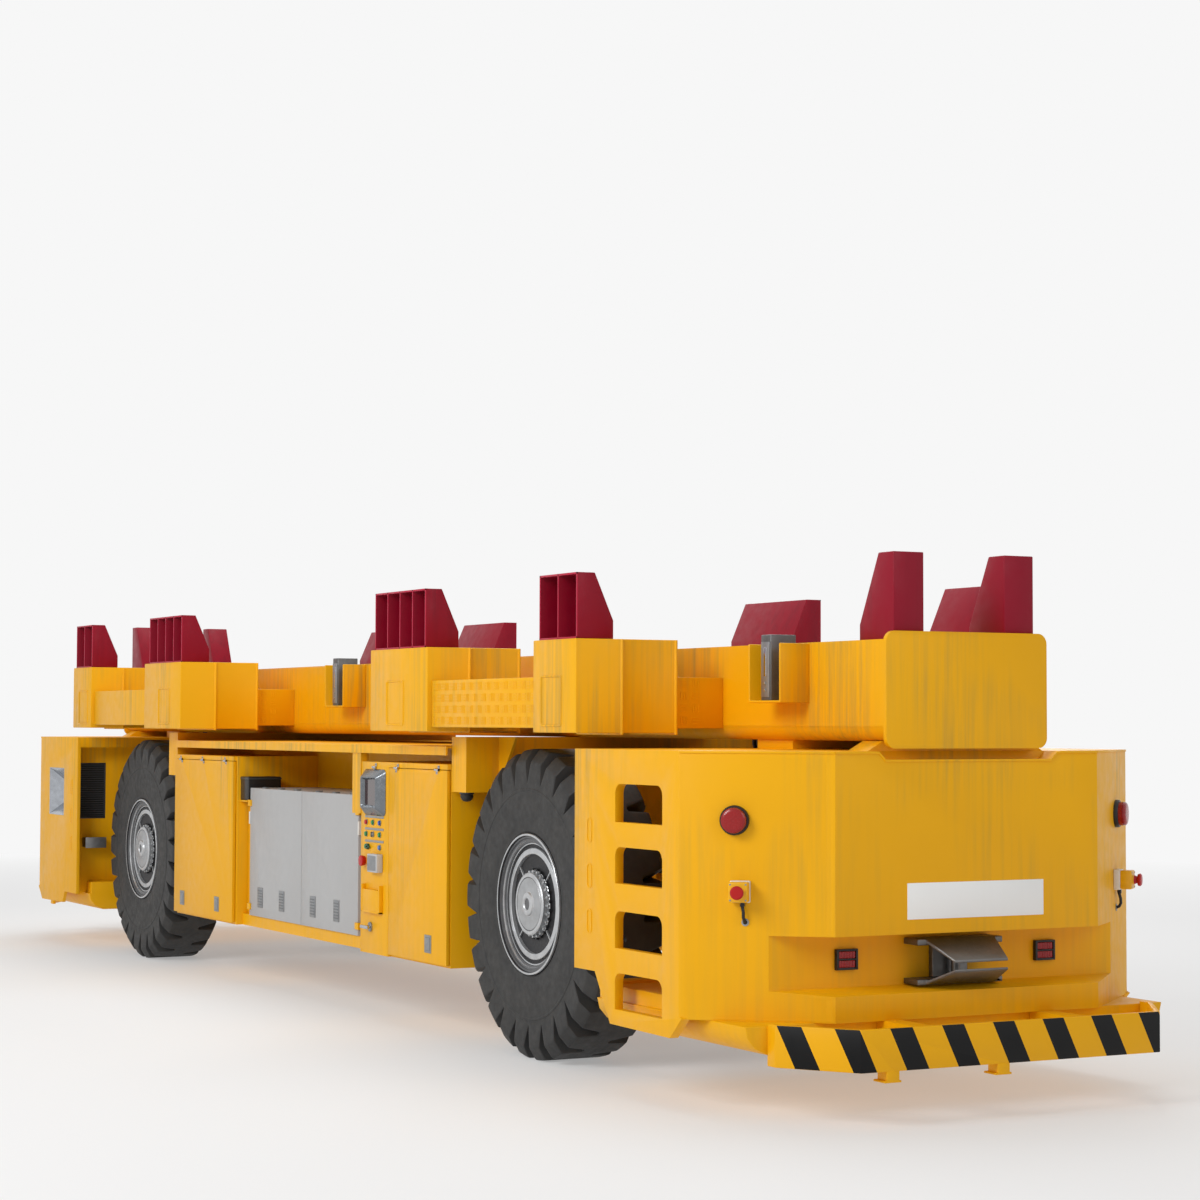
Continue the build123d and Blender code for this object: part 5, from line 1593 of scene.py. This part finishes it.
@dataclass
class BayFittings:
    """The fittings round the batteries, the grilles, the couplings and the underside.

    Attributes:
        face_y: Distance of the batteries' faces from the vehicle's middle.
        vents: Places of the vents along a battery.
        slats: Number of slats of a vent.
        clips: Places of the clips along its top.
        ends: Places of the strips at its ends.
        louvres: Number of slats of a grille.
    """

    face_y: float = 1.290
    vents: tuple[float, ...] = (-0.891, -0.411, 0.251, 0.731)
    slats: int = 6
    clips: tuple[float, ...] = (-0.90, -0.55, -0.20, 0.25, 0.60, 0.95)
    ends: Pair = (-1.150, 1.150)
    louvres: int = 24

    def battery(self, shape: Shape, place: Matrix) -> None:
        """Adds a battery's vents, top clips, end strips and holders.

        Args:
            shape: The mesh that takes them.
            place: The frame on the battery's face.
        """
        zinc, grey = Finishes.zinc, Finishes.steel_grey
        for spot in self.vents:
            shape.box((spot - 0.054, 0.650, 0.0), (spot + 0.054, 0.810, 0.0065), zinc, place,
                      rounding=0.002)
            for slat in range(self.slats):
                height = 0.675 + 0.022 * slat
                shape.box((spot - 0.044, height - 0.005, 0.004),
                          (spot + 0.044, height + 0.005, 0.009), grey, place, rounding=0.001)
        for spot in self.clips:
            shape.box((spot - 0.035, 1.602, -0.060), (spot + 0.035, 1.612, -0.025), grey, place,
                      rounding=0.002)
        for spot in self.ends:
            shape.box((spot - 0.010, 1.31, -0.040), (spot + 0.010, 1.41, 0.006),
                      Finishes.stop_white, place, rounding=0.003)
            middle = spot - 0.010 * (1 if spot > 0 else -1)
            for height in (0.62, 1.455):
                shape.box((middle - 0.035, height, -0.030), (middle + 0.035, height + 0.05, 0.012),
                          Finishes.yellow, place, rounding=0.003)

    def connector(self, shape: Shape, place: Matrix) -> None:
        """Adds a dark connector box with a lid and two cables.

        Args:
            shape: The mesh that takes it.
            place: The right side's frame, with its third axis out from the vehicle's middle.
        """
        black = Finishes.black
        shape.box((-1.3515, 1.500, 1.020), (-1.160, 1.690, 1.300), black, place, rounding=0.006)
        shape.box((-1.3515, 1.668, 1.016), (-1.156, 1.682, 1.304), Finishes.graphite, place,
                  rounding=0.003)
        shape.box((1.156, 1.500, 1.020), (1.192, 1.720, 1.300), black, place, rounding=0.004)
        for spot in (-1.300, -1.220):
            shape.tube([(spot, 1.505, 1.120), (spot, 1.420, 1.120), (spot + 0.006, 1.340, 1.100),
                        (spot + 0.004, 1.200, 1.060)], 0.016, black, place)

    def grille(self, shape: Shape, place: Matrix) -> None:
        """Adds a louvred grille.

        Args:
            shape: The mesh that takes it.
            place: The frame at the grille's middle on the bulkhead.
        """
        shape.box((-0.131, -0.264, -0.0158), (0.131, 0.264, -0.010), Finishes.black, place)
        for low, high in (((-0.131, -0.264), (-0.119, 0.264)), ((0.119, -0.264), (0.131, 0.264)),
                          ((-0.131, -0.264), (0.131, -0.252)), ((-0.131, 0.252), (0.131, 0.264))):
            shape.box((*low, -0.012), (*high, 0.0), Finishes.graphite, place, rounding=0.001)
        for slat in range(self.louvres):
            height = -0.242 + 0.021 * slat
            tilt = Matrix.Rotation(radians(35), 4, "X")
            turn = place @ Matrix.Translation((0, height, -0.007)) @ tilt
            shape.box((-0.120, -0.008, -0.001), (0.120, 0.008, 0.001), Finishes.graphite, turn)

    def build(self) -> None:
        """Builds the fittings of both sides and ends."""
        batteries, boxes, grilles, under, posts = Shape(), Shape(), Shape(), Shape(), Shape()
        cup, rubber, yellow = Finishes.graphite, Finishes.buffer, Finishes.yellow
        for turn in END_TURNS:
            side = turn @ face_frame((0, 0, 0), (0, -1, 0))
            self.battery(batteries, turn @ face_frame((0, -self.face_y, 0), (0, -1, 0)))
            self.connector(boxes, side)
            self.grille(grilles, turn @ face_frame((5.300, 1.3585, 1.4775), (-1, 0, 0)))
            posts.box((-1.352, 1.486, 1.000), (-1.170, 1.499, 1.310), yellow, side, rounding=0.002)
            posts.box((-1.336, 0.560, 1.080), (-1.215, 1.486, 1.235), yellow, side, rounding=0.004)
            under.box((-5.300, 0.945, 1.260), (-5.170, 1.035, 1.450), Finishes.black, side,
                      rounding=0.004)
            under.box((-5.172, 0.940, 1.255), (-5.166, 1.040, 1.455), Finishes.zinc, side,
                      rounding=0.001)
            for hand in (-1, 1):
                stop = turn @ face_frame((2.985, hand * 1.270, 1.670), (0, 0, -1), (1, 0, 0))
                under.lathe([(0.0, 0.050, cup), (0.012, 0.050, cup), (0.014, 0.042, rubber),
                             (0.032, 0.044, rubber), (0.052, 0.034, rubber),
                             (0.062, 0.018, rubber), (0.064, 0.0, rubber)], stop, steps=32)
                across = hand * 0.30
                for offset in (0.0, 0.045):
                    path = [(5.10 + offset, 2.045), (5.10 + offset, 2.010), (5.12 + offset, 1.975),
                            (5.16 + offset, 1.960), (5.30 + offset, 1.958)]
                    under.tube([(along, across, height) for along, height in path], 0.014,
                               Finishes.black, turn)
        batteries.done("battery_fittings", CHASSIS, "panel_grey")
        posts.done("connector_posts", CHASSIS, "yellow_paint")
        boxes.done("connector_housings", CHASSIS, "black_plastic", ["connector_boxes"])
        grilles.done("grille_louvres", CHASSIS, "black_plastic", ["grilles"])
        under.done("hoses_and_stops", CHASSIS, "black_rubber")


@dataclass
class Plates:
    """The folded and welded plate parts, each with its edges eased and its finish.

    Attributes:
        rounding: Width of the eased edge.
        fine: Its width on the scanner window, and on the cabinets and doors.
        least_angle: Edges over this angle in degrees are eased.
        weld: Distance under which vertices are one.
        flat: Angle in degrees under which neighbouring facets join.
    """

    rounding: float = 0.005
    fine: Pair = (0.001, 0.002)
    least_angle: float = 28.0
    weld: float = 0.00004
    flat: float = 0.6

    def ease(self, node: str, finish: Finish, body: str, slot: str,
             rounding: Optional[float] = None) -> bpy.types.Object:
        """Copies a solid's mesh, joins its facets and rounds its sharp edges.

        Args:
            node: The solid's name.
            finish: Its finish.
            body: The body that it moves with.
            slot: The record's material slot; passed on, but not used.
            rounding: Width of the eased edge, or None for the usual one.

        Returns:
            The new object.
        """
        shape = bmesh.new()
        shape.from_mesh(frame["nodes"][node].data)
        bmesh.ops.remove_doubles(shape, verts=shape.verts, dist=self.weld)
        bmesh.ops.dissolve_limit(shape, angle_limit=radians(self.flat), verts=shape.verts,
                                 edges=shape.edges)
        sharp = [edge for edge in shape.edges
                 if edge.is_manifold and edge.calc_face_angle(0.0) > radians(self.least_angle)]
        round_edges(shape, sharp, rounding or self.rounding)
        return piece(shape, f"{node}_plates", body, slot, [finish.material()], [node], angle=40.0)

    def build(self) -> None:
        """Eases every plate part."""
        table = (
            # node, finish, slot
            ("nose_front", Finishes.yellow, "yellow_paint"),
            ("nose_rear", Finishes.yellow, "yellow_paint"),
            ("belly_tubs", Finishes.yellow, "yellow_paint"),
            ("load_beam", Finishes.yellow, "yellow_paint"),
            ("load_pods", Finishes.yellow, "yellow_paint"),
            ("walkway_boxes", Finishes.yellow, "yellow_paint"),
            ("bumpers", Finishes.striped, "yellow_paint"),
            ("side_guides", Finishes.crimson, "red_paint"),
            ("end_guides", Finishes.crimson, "red_paint"),
            ("batteries", Finishes.grey, "grey_paint"),
            ("lock_boxes", Finishes.yellow, "yellow_paint"),
            ("lock_posts", Finishes.post, "bare_steel"),
            ("tow_couplings", Finishes.coupling, "dark_steel"),
            ("scanner_frames", Finishes.chrome, "chrome_trim"),
            ("scanner_glass", Finishes.glass, "scanner_glass"),
            ("spring_blocks", Finishes.buffer, "black_rubber"),
            ("drive_units", Finishes.dark_paint, "dark_paint"),
        )
        for node, finish, slot in table:
            fine = self.fine[0] if node.startswith("scanner") else None
            self.ease(node, finish, CHASSIS, slot, fine)
        yellow, thin = Finishes.yellow, self.fine[1]
        for side, _ in SIDES:
            for end, _ in ENDS:
                door = f"door_{side}_{end}"
                self.ease(f"cabinet_{side}_{end}", yellow, CHASSIS, "yellow_paint", thin)
                self.ease(door, yellow, door, "yellow_paint", thin)


@dataclass
class Carried:
    """The solids whose own meshes stay, each given its finish.

    Attributes:
        finishes: The finish of each of the record's slots.
    """

    finishes: dict[str, Finish] = field(default_factory=lambda: {
        "yellow_paint": Finishes.yellow, "grey_paint": Finishes.grey,
        "panel_grey": Finishes.zinc, "red_paint": Finishes.crimson,
        "dark_paint": Finishes.dark_paint, "dark_steel": Finishes.cast,
        "bare_steel": Finishes.bright, "rim": Finishes.rim, "tyre": Finishes.tyre,
        "black_rubber": Finishes.buffer, "black_plastic": Finishes.black,
        "red_lens": Finishes.lens, "stop_yellow": Finishes.stop_yellow,
        "chrome_trim": Finishes.chrome, "scanner_glass": Finishes.glass,
    })

    def build(self) -> None:
        """Assigns a finish to each solid, which shows where no new mesh replaces it."""
        for part in frame["record"]["subparts"]:
            material = self.finishes[part["material_slot"]].material()
            mesh = frame["nodes"][part["node"]].data
            if mesh.materials:
                for index in range(len(mesh.materials)):
                    mesh.materials[index] = material
            else:
                mesh.materials.append(material)


@dataclass
class Studio:
    """The floor, the lamps, the backdrop and the camera.

    Attributes:
        eye: The camera's place.
        heading: The camera's turn from the Y axis, in radians.
        tilt: The camera's tilt up, in radians.
        roll: The camera's roll, in radians.
        focal_share: Focal length as a share of the picture's width.
        film: Width of the film in millimetres.
        pale: The backdrop's colour.
        floor_size: Width of the floor.
        fade: Distances from the middle between which the floor turns into the backdrop.
        glow: Share of the backdrop's colour in the floor near the vehicle.
        fill: Strength of the soft light from all round.
        aim: Where the lamps point.
        lamps: Name, place, side in metres and power in watts of each lamp.
    """

    eye: Triple = (18.759, -8.5855, 2.1399)
    heading: float = 1.08539
    tilt: float = 0.04739
    roll: float = 0.002845
    focal_share: float = 2581.42 / 1200
    film: float = 36.0
    pale: Colour = field(default_factory=lambda: srgb(247, 247, 247))
    floor_size: float = 160.0
    fade: Pair = (11.0, 22.0)
    glow: float = 0.35
    fill: float = 0.34
    aim: Triple = (0.0, 0.0, 1.2)
    lamps: tuple[tuple[str, Triple, float, float], ...] = (
        ("side_lamp", (9.0, -19.0, 12.0), 9.0, 2500.0),
        ("front_lamp", (21.0, 3.0, 9.0), 8.0, 330.0),
        ("top_lamp", (-3.0, 2.0, 17.0), 12.0, 1500.0),
        ("far_lamp", (-16.0, 14.0, 10.0), 9.0, 800.0),
    )

    def camera(self) -> None:
        """Places the camera at the photograph's viewing angle."""
        flat = cos(self.tilt)
        ahead = Vector((-sin(self.heading) * flat, cos(self.heading) * flat, sin(self.tilt)))
        right = Vector((cos(self.heading), sin(self.heading), 0))
        up = right.cross(ahead)
        rolled = cos(self.roll) * right + sin(self.roll) * up
        raised = -sin(self.roll) * right + cos(self.roll) * up
        data = bpy.data.cameras.new("photo_view")
        data.sensor_width = self.film
        data.lens = self.focal_share * self.film
        data.clip_end = 400.0
        made = bpy.data.objects.new("photo_view", data)
        bpy.context.collection.objects.link(made)
        turn = Matrix((rolled, raised, -ahead)).transposed().to_4x4()
        made.matrix_world = Matrix.Translation(self.eye) @ turn
        bpy.context.scene.camera = made

    def floor(self) -> None:
        """Lays a pale floor that fades into the backdrop away from the vehicle."""
        shape = bmesh.new()
        bmesh.ops.create_circle(shape, cap_ends=True, segments=96, radius=self.floor_size / 2)
        mesh = bpy.data.meshes.new("floor")
        shape.to_mesh(mesh)
        shape.free()
        graph = Graph("studio_floor")
        graph.set(Base_Color=srgb(236, 236, 236), Roughness=0.9, Specular_IOR_Level=0.1)
        away = graph.node("VectorMath", {"operation": "LENGTH"})
        graph.feed(away.inputs[0], graph.here())
        faded = graph.ramp(away.outputs["Value"], self.fade[0], self.fade[1], self.glow, 1.0)
        glow = graph.node("Emission", Color=self.pale, Strength=1.0)
        blend = graph.node("MixShader", Fac=faded)
        graph.feed(blend.inputs[1], graph.shader.outputs["BSDF"])
        graph.feed(blend.inputs[2], glow.outputs["Emission"])
        graph.feed(graph.tree.nodes["Material Output"].inputs["Surface"], blend.outputs["Shader"])
        mesh.materials.append(graph.material)
        made = bpy.data.objects.new("floor", mesh)
        bpy.context.collection.objects.link(made)

    def backdrop(self) -> None:
        """Sets the world to a soft fill, seen as the pale backdrop."""
        world = bpy.data.worlds.new("studio")
        bpy.context.scene.world = world
        world.use_nodes = True
        tree = world.node_tree
        tree.nodes.clear()
        path = tree.nodes.new("ShaderNodeLightPath")
        fill = tree.nodes.new("ShaderNodeBackground")
        fill.inputs["Color"].default_value = (1.0, 1.0, 1.0, 1.0)
        fill.inputs["Strength"].default_value = self.fill
        seen = tree.nodes.new("ShaderNodeBackground")
        seen.inputs["Color"].default_value = self.pale
        either = tree.nodes.new("ShaderNodeMath")
        either.operation = "MAXIMUM"
        blend = tree.nodes.new("ShaderNodeMixShader")
        output = tree.nodes.new("ShaderNodeOutputWorld")
        tree.links.new(path.outputs["Is Camera Ray"], either.inputs[0])
        tree.links.new(path.outputs["Is Glossy Ray"], either.inputs[1])
        tree.links.new(either.outputs["Value"], blend.inputs["Fac"])
        tree.links.new(fill.outputs["Background"], blend.inputs[1])
        tree.links.new(seen.outputs["Background"], blend.inputs[2])
        tree.links.new(blend.outputs["Shader"], output.inputs["Surface"])

    def lamp(self, name: str, place: Triple, size: float, power: float) -> None:
        """Hangs a soft square lamp that faces the vehicle.

        Args:
            name: The lamp's name.
            place: Where it hangs.
            size: Its side.
            power: Its power in watts.
        """
        data = bpy.data.lights.new(name, "AREA")
        data.size = size
        data.energy = power
        made = bpy.data.objects.new(name, data)
        bpy.context.collection.objects.link(made)
        made.location = place
        aim = Vector(self.aim) - Vector(place)
        made.rotation_euler = aim.to_track_quat("-Z", "Y").to_euler()

    def build(self) -> None:
        """Sets up the whole studio."""
        bpy.context.scene.view_settings.view_transform = "Standard"
        self.camera()
        self.floor()
        self.backdrop()
        for name, place, size, power in self.lamps:
            self.lamp(name, place, size, power)


def main() -> None:
    """Builds the studio and every part of the vehicle in order."""
    logging.basicConfig(level=logging.INFO, format="%(name)s: %(message)s")
    Studio().build()
    Carried().build()
    Plates().build()
    RunningGear().build()
    Hinges().build()
    ControlPanels().build()
    CornerFittings().build()
    LoadFrameFittings().build()
    BayFittings().build()


if __name__ == "__main__":
    main()
